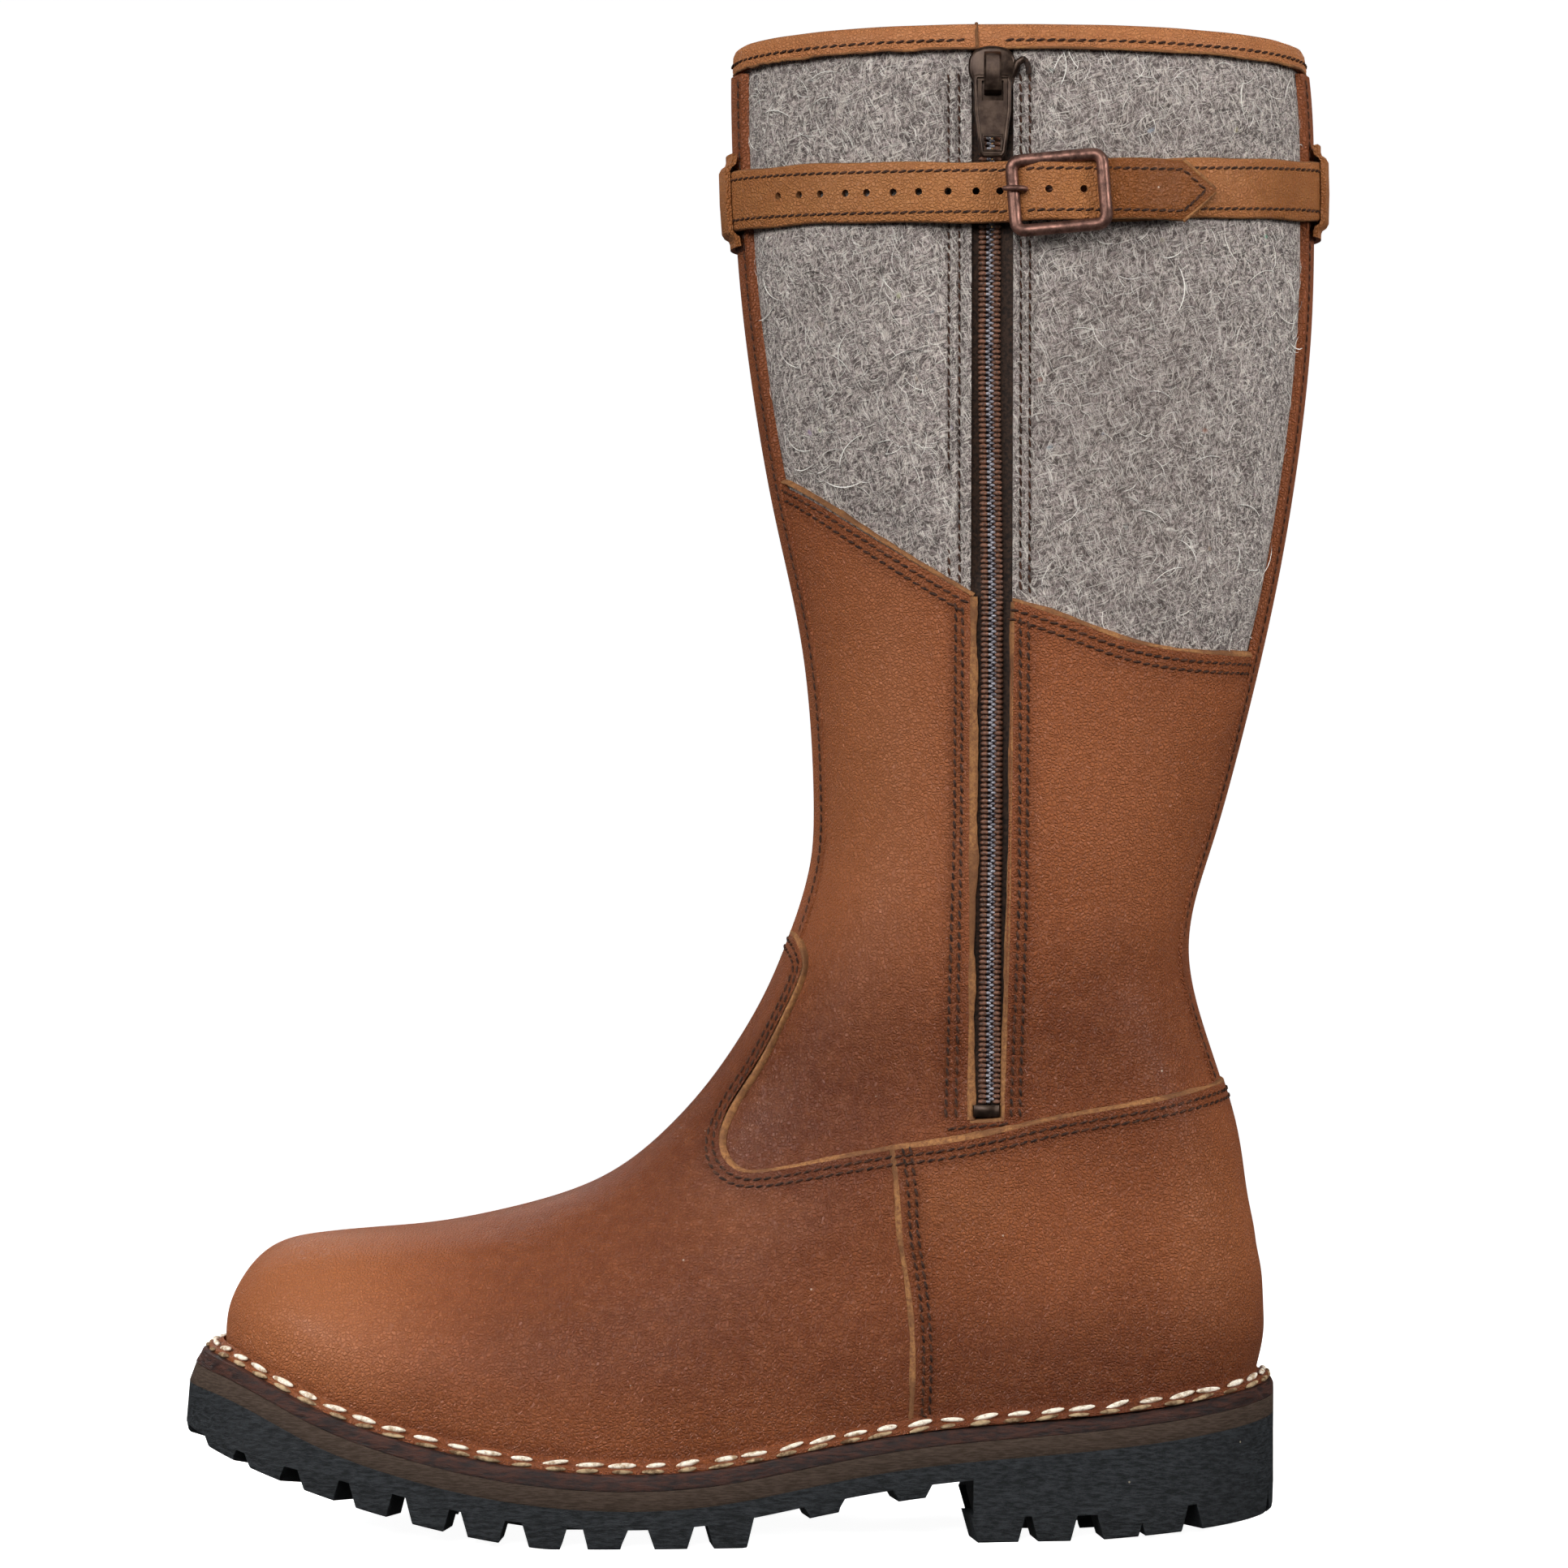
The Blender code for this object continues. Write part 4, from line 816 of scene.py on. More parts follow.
# %% Hollows and swells of the leather
# Middle in the side view, its reach along and across in mm, its slant in degrees, and the depth
HOLLOW_COLUMNS = "x z long wide slant depth".split()
HOLLOWS = (
    (22, 124, 46, 15, 8, 1.4), (58, 132, 26, 16, 0, 0.7), (4, 150, 20, 9, 60, 0.7),
    (-46, 66, 40, 12, -18, 0.7), (-78, 62, 30, 10, -30, 0.5), (-112, 64, 24, 9, -28, 0.5),
    (75, 74, 40, 16, 70, 0.6), (112, 158, 24, 8, 14, 0.8), (100, 178, 26, 9, 6, 0.5),
    (40, 205, 20, 30, 0, -0.6), (95, 215, 22, 28, 0, -0.5), (-128, 62, 16, 10, 0, -0.4),
    (-102, 86, 44, 15, 0, -2.0), (-140, 77, 13, 13, 0, -1.5),
)


def hollow_depth(turn, level):
    """How far the leather lies inside its form, from the listed hollows."""
    point = form(turn, level)
    total = np.zeros(point.shape[:-1])
    for row in HOLLOWS:
        here = dict(zip(HOLLOW_COLUMNS, row))
        slant = math.radians(here["slant"])
        dx, dz = point[..., 0] - here["x"], point[..., 2] - here["z"]
        along = dx * math.cos(slant) + dz * math.sin(slant)
        across = -dx * math.sin(slant) + dz * math.cos(slant)
        total += here["depth"] * np.exp(-((along / here["long"]) ** 2) - (across / here["wide"]) ** 2)
    return total


# The wall turns out onto the welt over its lowest stretch
FLARE_MM = 2.4
FLARE_LEVELS = 0.34


def wall_relief(turn, level):
    """How far the leather lies outside its form: the flare over the welt, less the hollows."""
    flare = np.clip(1 - level / FLARE_LEVELS, 0, 1) ** 2 * FLARE_MM
    return flare - hollow_depth(turn, level)


print("hollows and swells", len(HOLLOWS))

# %% [markdown]
# Each panel starts as a thick curved grid on the form, so that it can be cut as leather is: a prism
# with the panel's outline cuts through it, and the cut faces take the colour of raw leather.

# %% Leather panels
# Cutters reach from side to side, or over one side alone, clear of the boot's middle
ACROSS = (-90, 90)
OUTER_SIDE = (-90, -10)
INNER_SIDE = (10, 90)
CUT_ANGLE = 45


def panel(name, turns, levels, low, high, outline, reach, relief=wall_relief, edge=raw_edge):
    """A leather panel: a curved sheet between two moves from the form, cut to an outline."""
    turns = np.asarray(turns, float)[:, None]
    levels = np.asarray(levels, float)[None]
    raised = relief(turns, levels)
    outside = skin(turns, levels, high + raised)
    inside = skin(turns, levels, low + np.minimum(raised, 0))
    shape = grid_shape(np.concatenate([outside, inside[:, ::-1]], 1))
    piece = finish_piece(name, shape, [cowhide, edge])
    cut(piece, "INTERSECT", side_prism(outline, *reach))
    smooth(piece.data, CUT_ANGLE)
    return piece


def rise(low, high, count, crowd=1.0):
    """Levels from low to high, closer together at the foot when crowd is over 1."""
    return low + (high - low) * np.linspace(0, 1, count) ** crowd


# %% [markdown]
# The foot: one large vamp runs from the toe over the instep to a tab, and the counter wraps
# the heel and laps over the vamp's ends.

# %% Vamp and counter
# Inner and outer face of each leather, as moves from the form
FOOT_LEATHER = (-3.0, 0.0)
COUNTER_LEATHER = (-2.6, 0.5)
vamp_edge, counter_front, counter_top = map(smooth_line, (VAMP_EDGE, COUNTER_FRONT, COUNTER_TOP))

outline = np.concatenate([vamp_edge, counter_front[1:], [(-190, 15), (-190, 120), (-60, 140)]])
vamp_turns = np.linspace(-0.37, 0.37, 190)
vamp = panel("vamp_leather", vamp_turns, rise(0, 11, 120, 1.25), *FOOT_LEATHER, outline, ACROSS)
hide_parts("vamp")

outline = np.concatenate([counter_top[1:], [(190, 130), (190, 15)], counter_front[::-1]])
counter_turns = np.linspace(0.19, 0.81, 170)
counter = panel(
    "counter_leather", counter_turns, rise(0, 9.4, 70, 1.3), *COUNTER_LEATHER, outline, ACROSS
)
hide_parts("counter")

# %% [markdown]
# The shaft's leather is three panels: one ahead of the zip, one behind it, and one on the inner
# side. They lie on the felt's lower part, under the vamp and counter.

# %% Shaft panels
SHAFT_LEATHER = (-3.0, -1.6)
# The shaft's leather runs on under the foot's by this lap
LAP = 3.0
rim = np.concatenate([vamp_edge, counter_top[1:]])
felt_front, felt_rear = smooth_line(FELT_FRONT), smooth_line(FELT_REAR)
below = rim - (0, LAP)
SHAFT_LEVELS = rise(6.5, 15.2, 90)


def clip_line(line, x_from, x_to):
    """The stretch of a line between two places along the boot, with exact ends."""
    keep = line[(line[:, 0] > x_from) & (line[:, 0] < x_to)]
    ends = [(x, np.interp(x, line[:, 0], line[:, 1])) for x in (x_from, x_to)]
    return np.concatenate([ends[:1], keep, ends[1:]])


front_top = clip_line(felt_front, -29, ZIP_FRONT_X)
low_front = below[below[:, 0] < ZIP_REAR_X - 1]
zip_foot = [(ZIP_FRONT_X, ZIP_FOOT_Z), (ZIP_REAR_X - 2.2, ZIP_FOOT_Z + 0.6)]
outline = np.concatenate([front_top, zip_foot, low_front[::-1], [(-60, 170)]])
shaft_front = panel(
    "shaft_leather_ahead", np.linspace(0.0, 0.29, 90), SHAFT_LEVELS, *SHAFT_LEATHER, outline, OUTER_SIDE
)
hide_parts("shaft_leather_front")

rear_top = clip_line(felt_rear, ZIP_REAR_X, 174)
low_rear = below[below[:, 0] > ZIP_REAR_X - 3]
outline = np.concatenate([[(ZIP_REAR_X - 2.2, 112)], low_rear, rear_top[::-1]])
shaft_rear = panel(
    "shaft_leather_behind", np.linspace(0.22, 0.5, 90), SHAFT_LEVELS, *SHAFT_LEATHER, outline, OUTER_SIDE
)
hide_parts("shaft_leather_rear")

outline = np.concatenate([felt_front, felt_rear[1:], below[::-1], [(-60, 170)]])
shaft_inner = panel(
    "shaft_leather_within", np.linspace(0.5, 1.0, 130), SHAFT_LEVELS, *SHAFT_LEATHER, outline, INNER_SIDE
)
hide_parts("shaft_leather_inner")

# %% [markdown]
# A strip of leather covers the seam in front and another the seam behind, from the collar down
# to the foot. Seen from the side they are a narrow band at the boot's edge.

# %% Strips over the front and back seams
STRIP_TOP_Z = 413.5
STRIP_EDGE = 11.5
STRIP_LEATHER = (-3.0, -1.0)
STRIP_RISE = 0.8


def strip_relief(turn, level):
    """The strip rises over the seam it covers, so it is highest along its middle."""
    return STRIP_RISE * np.exp(-((form(turn, level)[..., 1] / 6.0) ** 2))


front_rim = rim[(rim[:, 0] < 20) & (rim[:, 1] > 150)]
outline = np.concatenate(
    [[(-60, 190)], front_rim - (0, LAP), [(50, 172), (50, STRIP_TOP_Z), (-60, STRIP_TOP_Z)]]
)
front_strip = panel(
    "front_strip_leather", np.linspace(-0.1, 0.1, 40), rise(9.0, 17.9, 120), *STRIP_LEATHER, outline,
    (-STRIP_EDGE, STRIP_EDGE), strip_relief, cowhide,
)
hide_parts("front_strip")
back_rim = rim[rim[:, 0] > 95]
outline = np.concatenate([back_rim - (0, LAP), [(190, STRIP_TOP_Z), (95, STRIP_TOP_Z)]])
back_strip = panel(
    "back_strip_leather", np.linspace(0.4, 0.6, 40), rise(7.6, 17.9, 130), *STRIP_LEATHER, outline,
    (-STRIP_EDGE, STRIP_EDGE), strip_relief, cowhide,
)
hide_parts("back_strip")

# %% [markdown]
# The felt shaft is the boot's inner wall as well: felt outside, a calf lining inside, open at the
# collar, under the foot and along the zip. It swells between the lines where it is sewn down.

# %% Felt shaft
FELT_OUT = -3.0
LINING_OUT = -5.8
STRAP_Z = 377.0
# Seams that hold the zip's tapes to the felt, ahead of the zip and behind it
FELT_SEAMS_X = (54.4, 57.4, 74.8, 77.4)
FELT_FOOT = np.concatenate([felt_front, felt_rear])
FELT_SWELL = 2.1
COLLAR_FOOT_Z = 413


def felt_relief(turn, level):
    """How far the felt swells: less along its seams, under the strap and beside what binds it."""
    point = form(turn, level)
    from_seam = np.min([np.abs(point[..., 0] - x) for x in FELT_SEAMS_X], 0)
    dented = 0.45 * np.exp(-from_seam / 6) + 0.5 * np.exp(-((from_seam / 0.8) ** 2))
    sewn = np.where(point[..., 1] < 0, 1 - dented, 1.0)
    strapped = 1 - 0.3 * np.exp(-(((point[..., 2] - STRAP_Z) / 11) ** 4))
    bound = 1 - np.exp(-np.clip(COLLAR_FOOT_Z - point[..., 2], 0, None) / 7)
    strips = 1 - np.exp(-np.clip(np.abs(point[..., 1]) - STRIP_EDGE, 0, None) / 6)
    above_leather = np.clip((point[..., 2] - np.interp(point[..., 0], *FELT_FOOT.T)) / 14, 0, 1)
    waves = 0.35 * np.sin(point[..., 2] / 17 + point[..., 0] / 23) * np.sin(point[..., 0] / 15 - 1.0)
    return above_leather * sewn * strapped * bound * strips * (FELT_SWELL + waves)


near_zip = np.linspace(*on_side([52, 80], [340, 340])[0], 56)
turns = np.linspace(0, 1, 181)[:-1]
elsewhere = (turns < near_zip[0] - 0.002) | (turns > near_zip[-1] + 0.002)
turns = np.sort(np.r_[turns[elsewhere], near_zip])[:, None]
levels = np.r_[rise(0, 7, 24)[:-1], rise(7, 17.9, 100)][None]
outside = skin(turns, levels, FELT_OUT - 0.3 + felt_relief(turns, levels))
inside = skin(turns, levels, LINING_OUT + 0 * turns * levels)
shape = grid_shape(np.concatenate([outside, inside[:, ::-1]], 1), close_rows=True, caps=False)
felt_shaft = finish_piece("felt_shaft", shape, [felt, felt])
SLOT_REACH = (-90, -20)
slot_low, slot_high = ZIP_FOOT_Z, BOOT_HEIGHT + 20
slot_outline = [
    (ZIP_FRONT_X, slot_low), (ZIP_REAR_X - 2.0, slot_low), (ZIP_REAR_X, 262), (ZIP_REAR_X, slot_high),
    (ZIP_FRONT_X, slot_high),
]
cut(felt_shaft, "DIFFERENCE", side_prism(slot_outline, *SLOT_REACH))

# %% [markdown]
# Faces that look towards the leg's middle line are the lining. The line leans with the boot, so
# its place along the boot is read from a few heights.

# %% Lining
# Heights and places along the boot of the leg's middle line, in metres
LEG_LINE = ((0.03, 0.10, 0.17, 0.42), (0.0, 0.03, 0.068, 0.077))
LINING_FACING = 0.002
felt_shaft.data.materials.append(lining_hide)
normals = np.empty(len(felt_shaft.data.polygons) * 3)
centres = np.empty_like(normals)
felt_shaft.data.polygons.foreach_get("normal", normals)
felt_shaft.data.polygons.foreach_get("center", centres)
normals, centres = normals.reshape(-1, 3), centres.reshape(-1, 3)
axis_x = np.interp(centres[:, 2], *LEG_LINE)
to_axis = np.stack([axis_x - centres[:, 0], MIDDLE_Y * MM - centres[:, 1], 0 * axis_x], -1)
faces_in = (normals * to_axis).sum(1) > LINING_FACING
for face, within in zip(felt_shaft.data.polygons, faces_in):
    face.material_index = 2 if within else 0
smooth(felt_shaft.data, 50)
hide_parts("upper")
print("lining", int(faces_in.sum()), "faces")

# %% [markdown]
# A knife leaves a pale edge on leather, and handling rounds it over. Each panel's edge gets a
# slim bevelled bead that leans onto the piece below, a little uneven as a hand-cut edge is.

# %% Beads along an edge
# The bead's section: across, as a share of its width, and out in mm
BEVEL = ((-0.35, 0.03), (0.1, 0.04), (0.5, -0.25), (0.85, -0.8), (1.0, -1.8), (-0.35, -1.8))
hand = np.random.default_rng(7)


def resampled(turn, level, pitch, ends=True):
    """A row at an even pitch in millimetres, with or without its two ends."""
    lengths = lengths_along(form(turn, level))
    count = max(int(round(lengths[-1] / pitch)), 2)
    share = np.linspace(0, 1, count + 1) if ends else (np.arange(count) + 0.5) / count
    wanted = share * lengths[-1]
    return np.interp(wanted, lengths, turn), np.interp(wanted, lengths, level)


def wavering(count, amount):
    """A smooth random run around 1, for the small unevenness of handwork."""
    return 1 + amount * np.convolve(hand.normal(size=count + 6), np.ones(7) / 2.6, "valid")


def edge_bead(row, side, high, width=1.0, inner=False):
    """A bevelled cut edge on the given side of a row, from a panel's face down to what it covers."""
    turn, level = resampled(*row, 1.6)
    uneven = side * width * wavering(len(turn), 0.16)
    places = []
    for across, out in BEVEL:
        at_turn, at_level = beside(turn, level, across * uneven)
        low = high + out - hollow_depth(at_turn, at_level)
        places.append(skin(1 - at_turn if inner else at_turn, at_level, low))
    return grid_shape(np.stack(places, 1))


def straight_row(points, count=60):
    """Turns and levels along a plain side-view polyline."""
    points = np.asarray(points, float)
    share = np.linspace(0, len(points) - 1, count)
    x, z = (np.interp(share, range(len(points)), points[:, k]) for k in (0, 1))
    return on_side(x, z)


print("beads of", len(BEVEL), "corners")

# %% [markdown]
# The rows that have a cut edge are the drawn ones, and the panels' ends along the zip.

# %% Cut edges of the panels
EDGE_ROWS = {
    "vamp": trace(VAMP_EDGE, ends=(0.0,)),
    "counter_front": trace(COUNTER_FRONT),
    "counter_top": trace(COUNTER_TOP, ends=(0.5,)),
    "felt_front": trace(FELT_FRONT),
    "felt_rear": trace(FELT_REAR),
    "zip_front": straight_row(((ZIP_FRONT_X, 117.5), (ZIP_FRONT_X, 263.5))),
    "zip_rear": straight_row(((ZIP_REAR_X, 262.0), (ZIP_REAR_X - 0.6, 180), (ZIP_REAR_X - 2.2, 117.5))),
    "zip_foot": straight_row(((ZIP_FRONT_X, ZIP_FOOT_Z), (ZIP_REAR_X - 2.0, ZIP_FOOT_Z + 0.6))),
}
# Row, side of the bead, the panel's face above the form, width, and whether both sides have it
EDGE_BEADS = (
    ("vamp", 1, 0.0, 1.0, True),
    ("counter_top", 1, 0.5, 1.0, True),
    ("counter_front", -1, 0.5, 1.5, True),
    ("felt_front", 1, -1.6, 0.9, True),
    ("felt_rear", 1, -1.6, 0.9, True),
    ("zip_front", -1, -1.6, 1.5, False),
    ("zip_rear", -1, -1.6, 0.9, False),
    ("zip_foot", 1, -1.6, 0.8, False),
)
beads = []
for name, side, high, width, both in EDGE_BEADS:
    for inner in (False, True)[: 1 + both]:
        beads.append(edge_bead(EDGE_ROWS[name], side, high, width, inner))
raw_edges = finish_piece("cut_edges", join_shapes(beads), [raw_edge], 60)
print("edges", len(beads))

# %% [markdown]
# Seams are lockstitched in two rows, about 2.9 mm to a stitch, each stitch lying a little
# aslant. One small rounded grain of thread is pressed in wherever a stitch shows.

# %% A row of stitches
STITCH_PITCH = 2.9
# Stitches sit this far over the leather's face
STITCH_OUT = 0.10
STITCH_SIZE = (1.3, 0.42, 0.40)
STITCH_SLANT = math.radians(12)
seam_stitches = []


def sew(row, out, inner=False, pitch=STITCH_PITCH):
    """Adds a row of stitches on the surface at a height above the form."""
    turn, level = resampled(*row, pitch, ends=False)
    turn = 1 - turn if inner else turn
    places = skin(turn, level, out - hollow_depth(turn, level))
    along = unit(np.gradient(places, axis=0))
    up = outward(turn, level)
    slanted = along * math.cos(STITCH_SLANT) + np.cross(up, along) * math.sin(STITCH_SLANT)
    seam_stitches.append((places, slanted, up))


def gathered():
    """Places, directions and normals of the rows sewn so far, whose list is emptied."""
    rows = [np.concatenate(parts) for parts in zip(*seam_stitches)]
    seam_stitches.clear()
    return rows


print("one stitch each", STITCH_PITCH, "mm")

# %% [markdown]
# The panels' edges are sewn in two lines each, on both sides of the boot. Along the zip the
# seams run through felt and then through leather, and each strip is sewn down along both edges.

# %% Seams of the panels
# Row, distances of its two lines of stitches to the left of it, and the panel's face
SEAMS = (
    ("vamp", (-2.3, -4.6), 0.0),
    ("counter_top", (-2.4, -4.7), 0.5),
    ("counter_front", (2.9, 5.0), 0.5),
    ("felt_front", (-2.6, -5.2), -1.6),
    ("felt_rear", (-2.6, -5.2), -1.6),
)
for name, distances, high in SEAMS:
    for distance in distances:
        row = beside(*resampled(*EDGE_ROWS[name], 2.0), distance)
        for inner in (False, True):
            sew(row, high + STITCH_OUT, inner)

# Seams along the zip, seen from the side: where those on felt end, then those on leather
FELT_SEAM_FEET_Z = (269, 267, 265, 264)
ZIP_SEAMS_LEATHER = (
    ((56.7, 262), (56.5, 200), (54.4, 118)), ((58.6, 261), (58.4, 200), (57.3, 118)),
    ((74.9, 258), (74.9, 180), (72.8, 118)), ((77.2, 257), (77.0, 180), (75.3, 118)),
    ((54.8, 115.0), (72.1, 116.4)),
)
FELT_SEAM_TOP_Z = 409
# Distance of the strips' seams from their edges
STRIP_SEAM = 1.8
for x, foot_z in zip(FELT_SEAMS_X, FELT_SEAM_FEET_Z):
    sew(straight_row(((x, FELT_SEAM_TOP_Z), (x, foot_z))), FELT_OUT - 0.1)
for points in ZIP_SEAMS_LEATHER:
    sew(straight_row(points), SHAFT_LEATHER[1] + STITCH_OUT)


def strip_row(ridge, from_middle, low, high):
    """Turns and levels along a strip, at a distance from the front (0) or back (0.5) ridge."""
    levels = np.linspace(low, high, 90)
    reach = np.linspace(0, 0.12, 60)
    turns = []
    for level in levels:
        beside_ridge = np.abs(form(abs(ridge - reach), level)[:, 1])
        turns.append(np.interp(from_middle, beside_ridge, reach))
    return np.abs(ridge - np.array(turns)), levels


for inner in (False, True):
    sew(strip_row(0.0, STRIP_EDGE - STRIP_SEAM, 9.3, 17.5), STRIP_LEATHER[1] + STITCH_OUT, inner)
    sew(strip_row(0.5, STRIP_EDGE - STRIP_SEAM, 8.2, 17.5), STRIP_LEATHER[1] + STITCH_OUT, inner)


print("seams", len(seam_stitches))

# %% [markdown]
# A stitch is a small ball drawn out along the seam. Every one is a little longer or thinner than
# the next, as hand tension makes them.

# %% Thread of the seams
TO_X = Matrix.Rotation(math.radians(90), 3, "Y")


def thread_grain(size, around=6, rings=4):
    """One rounded grain of thread, its length along X."""
    shape = bmesh.new()
    bmesh.ops.create_uvsphere(shape, u_segments=around, v_segments=rings, radius=1)
    bmesh.ops.rotate(shape, verts=shape.verts, cent=(0, 0, 0), matrix=TO_X)
    bmesh.ops.scale(shape, verts=shape.verts, vec=size)
    return shape


stitch_places, along, up = gathered()
stitch_sizes = hand.normal(1, 0.06, (len(stitch_places), 3))
stitch = thread_grain(STITCH_SIZE)
panel_stitches = pressed("panel_stitches", stitch, sewing_thread, stitch_places, along, up, stitch_sizes)
print("stitches", len(stitch_places))

# %% [markdown]
# Felt is never shorn quite clean: long hairs of the fleece stand off it and catch the light. One
# bent hair is pressed on at random places, lengths and slants, wherever the felt lies free.

# %% Loose hairs of the felt
HAIRS = 2600
CLEAR_OF_STRAP = 13
CLEAR_OF_ZIP = 13
# Half length, bow, lift and thickness of a hair of middling size
HAIR_SIZE = (2.6, 0.8, 0.5, 0.075)
# Carded wool, lustrous and nearly white, with some dark ones among it
fleece = mottled(
    "loose_fleece_hair", 11, 1, "#4f4843", "#f2eee6", (0.40, 0.46), Roughness=0.7, Specular_IOR_Level=0.3
)


def bent_hair(long, bow, lift, thick):
    """A hair that rises from the felt and comes down again, pointed at both ends, along X."""
    shape = bmesh.new()
    bmesh.ops.create_grid(shape, x_segments=7, y_segments=3, size=1)
    for vert in shape.verts:
        along, around = vert.co.x, math.pi * vert.co.y
        arch = 1 - along**2
        wide = thick * math.sqrt(max(arch, 0))
        aside = bow * arch + wide * math.cos(around)
        vert.co = (long * along, aside, lift * arch + wide * math.sin(around))
    bmesh.ops.remove_doubles(shape, verts=shape.verts, dist=1e-4)
    return shape


turns, levels = hand.uniform(0, 1, HAIRS), hand.uniform(12.3, 17.8, HAIRS)
spots = form(turns, levels)
felt_foot = np.interp(spots[:, 0], *FELT_FOOT.T) + 3
free = (spots[:, 2] > felt_foot) & (np.abs(spots[:, 2] - STRAP_Z) > CLEAR_OF_STRAP)
free &= np.abs(spots[:, 1]) > STRIP_EDGE + 2
free &= (np.abs(spots[:, 0] - 66) > CLEAR_OF_ZIP) | (spots[:, 1] > 0)
turns, levels = turns[free], levels[free]
around, upward = slopes(turns, levels)
angle = hand.uniform(0, math.pi, len(turns))[:, None]
along = unit(around) * np.cos(angle) + unit(upward) * np.sin(angle)
sizes = hand.lognormal(0, 0.4, (len(turns), 1)) * [1, 1, 0.6]
# Half of the hairs bow to the other side
sizes = sizes * np.sign(hand.normal(size=(len(turns), 3)) + [9, 0, 9])
roots = skin(turns, levels, FELT_OUT - 0.25 + felt_relief(turns, levels))
hair_up = outward(turns, levels)
felt_hairs = pressed("felt_hairs", bent_hair(*HAIR_SIZE), fleece, roots, along, hair_up, sizes)
print("hairs", len(turns))

# %% [markdown]
# Along seams and above the welt the leather's colour deepens: painted shade where seams and welt
# shade it, and the wax and dirt that gather there. Each panel's points are told how near they lie
# to one of those lines.

# %% Painted shade along the seams
foot_turns = np.linspace(0, 1, 500)
shade_lines = np.concatenate([stitch_places, skin(foot_turns, 0.0, 0.0), skin(foot_turns, 0.3, 0.0)])
SHADE_REACH = 3.0
nearest = KDTree(len(shade_lines))
for index, point in enumerate(to_world(shade_lines)):
    nearest.insert(point, index)
nearest.balance()
shaded = (vamp, counter, shaft_front, shaft_rear, shaft_inner, front_strip, back_strip)
for piece in shaded:
    far = np.array([nearest.find(vert.co)[2] for vert in piece.data.vertices]) / MM
    shade = piece.data.attributes.new(SEAM_SHADE, "FLOAT", "POINT")
    shade.data.foreach_set("value", np.exp(-((far / SHADE_REACH) ** 2)).astype(np.float32))
print("shaded", len(shaded), "panels along", len(shade_lines), "points")

# %% [markdown]
# A band of thin leather binds the collar. It is folded over the felt's edge, stitched once, and
# its two ends meet beside the zip, the front one lapped over.

# %% Collar band
# Round the band's section: height, and move from the form
BAND_PROFILE = (
    (414.9, -2.9), (414.2, -2.0), (414.4, -1.3), (415.4, -1.05), (419.2, -1.15), (420.6, -1.7),
    (421.3, -2.9), (421.45, -4.4), (421.2, -5.9), (420.4, -7.2), (419.0, -7.7), (413.4, -7.7),
    (413.0, -7.0), (413.4, -6.2),
)
# Inside this move the band lies on the lining and keeps still
BAND_INSIDE = -4.4
# The collar stands a little higher along the outer side than in front and behind
COLLAR_RISE = 1.3
CALF_HALF = 45
# Turn near the front ridge where the band's rear and front lengths meet
BAND_JOIN = 0.999
FRONT_LIFT = 0.45


def level_of_z(z):
    """Level on the shaft at a height."""
    return np.interp(z, form(0.25, RIDGE_LEVELS)[:, 2], RIDGE_LEVELS)


def turn_of_x(x, z):
    """Turn on the outer side at a place in the side view."""
    return on_side(x, z)[0][0]


def collar_rise(turns):
    """How much higher the collar stands at a turn."""
    return COLLAR_RISE * np.clip(-form(turns, TOP)[..., 1] / CALF_HALF, 0, 1)


def on_collar(turns, z, out):
    """A place on the collar band, at a height before its rise."""
    level = level_of_z(z)
    above = np.maximum(collar_rise(turns) + 0 * level, 0)
    return skin(turns, level, out) + above[..., None] * (0, 0, 1)


def band(from_turn, to_turn, lift, count):
    """One length of the band, lifted off the form, with small swells between its stitches."""
    turns = np.linspace(from_turn, to_turn, count)[:, None]
    heights = np.array([z for z, _ in BAND_PROFILE])[None]
    outs = np.array([out for _, out in BAND_PROFILE])
    swell = 0.12 * np.sin(turns * 67) + 0.08 * np.sin(turns * 151 + 1)
    outs = np.where(outs > BAND_INSIDE, outs + lift + swell, outs)
    return grid_shape(on_collar(turns, heights, outs))


seam_turn = turn_of_x(62.6, 416)
rear_turn = turn_of_x(60.0, 416)
rear_band = band(rear_turn, BAND_JOIN, 0.0, 150)
front_band = band(BAND_JOIN, 1 + seam_turn, FRONT_LIFT, 60)
collar = finish_piece("collar_band", join_shapes([rear_band, front_band]), [collar_hide])
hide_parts("collar_binding")

# %% [markdown]
# The band's lower edge and the lap beside the zip were cut, so they show raw leather. A thin bar
# along each, a little uneven, gives that edge. One row of stitches follows the band.

# %% Collar's edges and stitches
LAP_PROFILE = ((414, 419, 421.5), (-0.9, -0.9, -2.6))
COLLAR_STITCH_Z = 416.5
lap_z = np.linspace(414.0, 421.5, 10)
lap_edge = tube(on_collar(np.full(10, seam_turn), lap_z, np.interp(lap_z, *LAP_PROFILE)), 0.55, 6)
low_edges = []
for from_turn, to_turn, out in ((rear_turn, BAND_JOIN, -1.5), (BAND_JOIN, 1 + seam_turn, -1.1)):
    edge_turns = np.linspace(from_turn, to_turn, 200)
    edge_z = 414.3 + 0.15 * (wavering(200, 1.0) - 1)
    low_edges.append(tube(on_collar(edge_turns, edge_z, np.full(200, out)), 0.45, 6))
collar_edge = finish_piece("collar_cut_edge", join_shapes(low_edges + [lap_edge]), [raw_edge], 0)

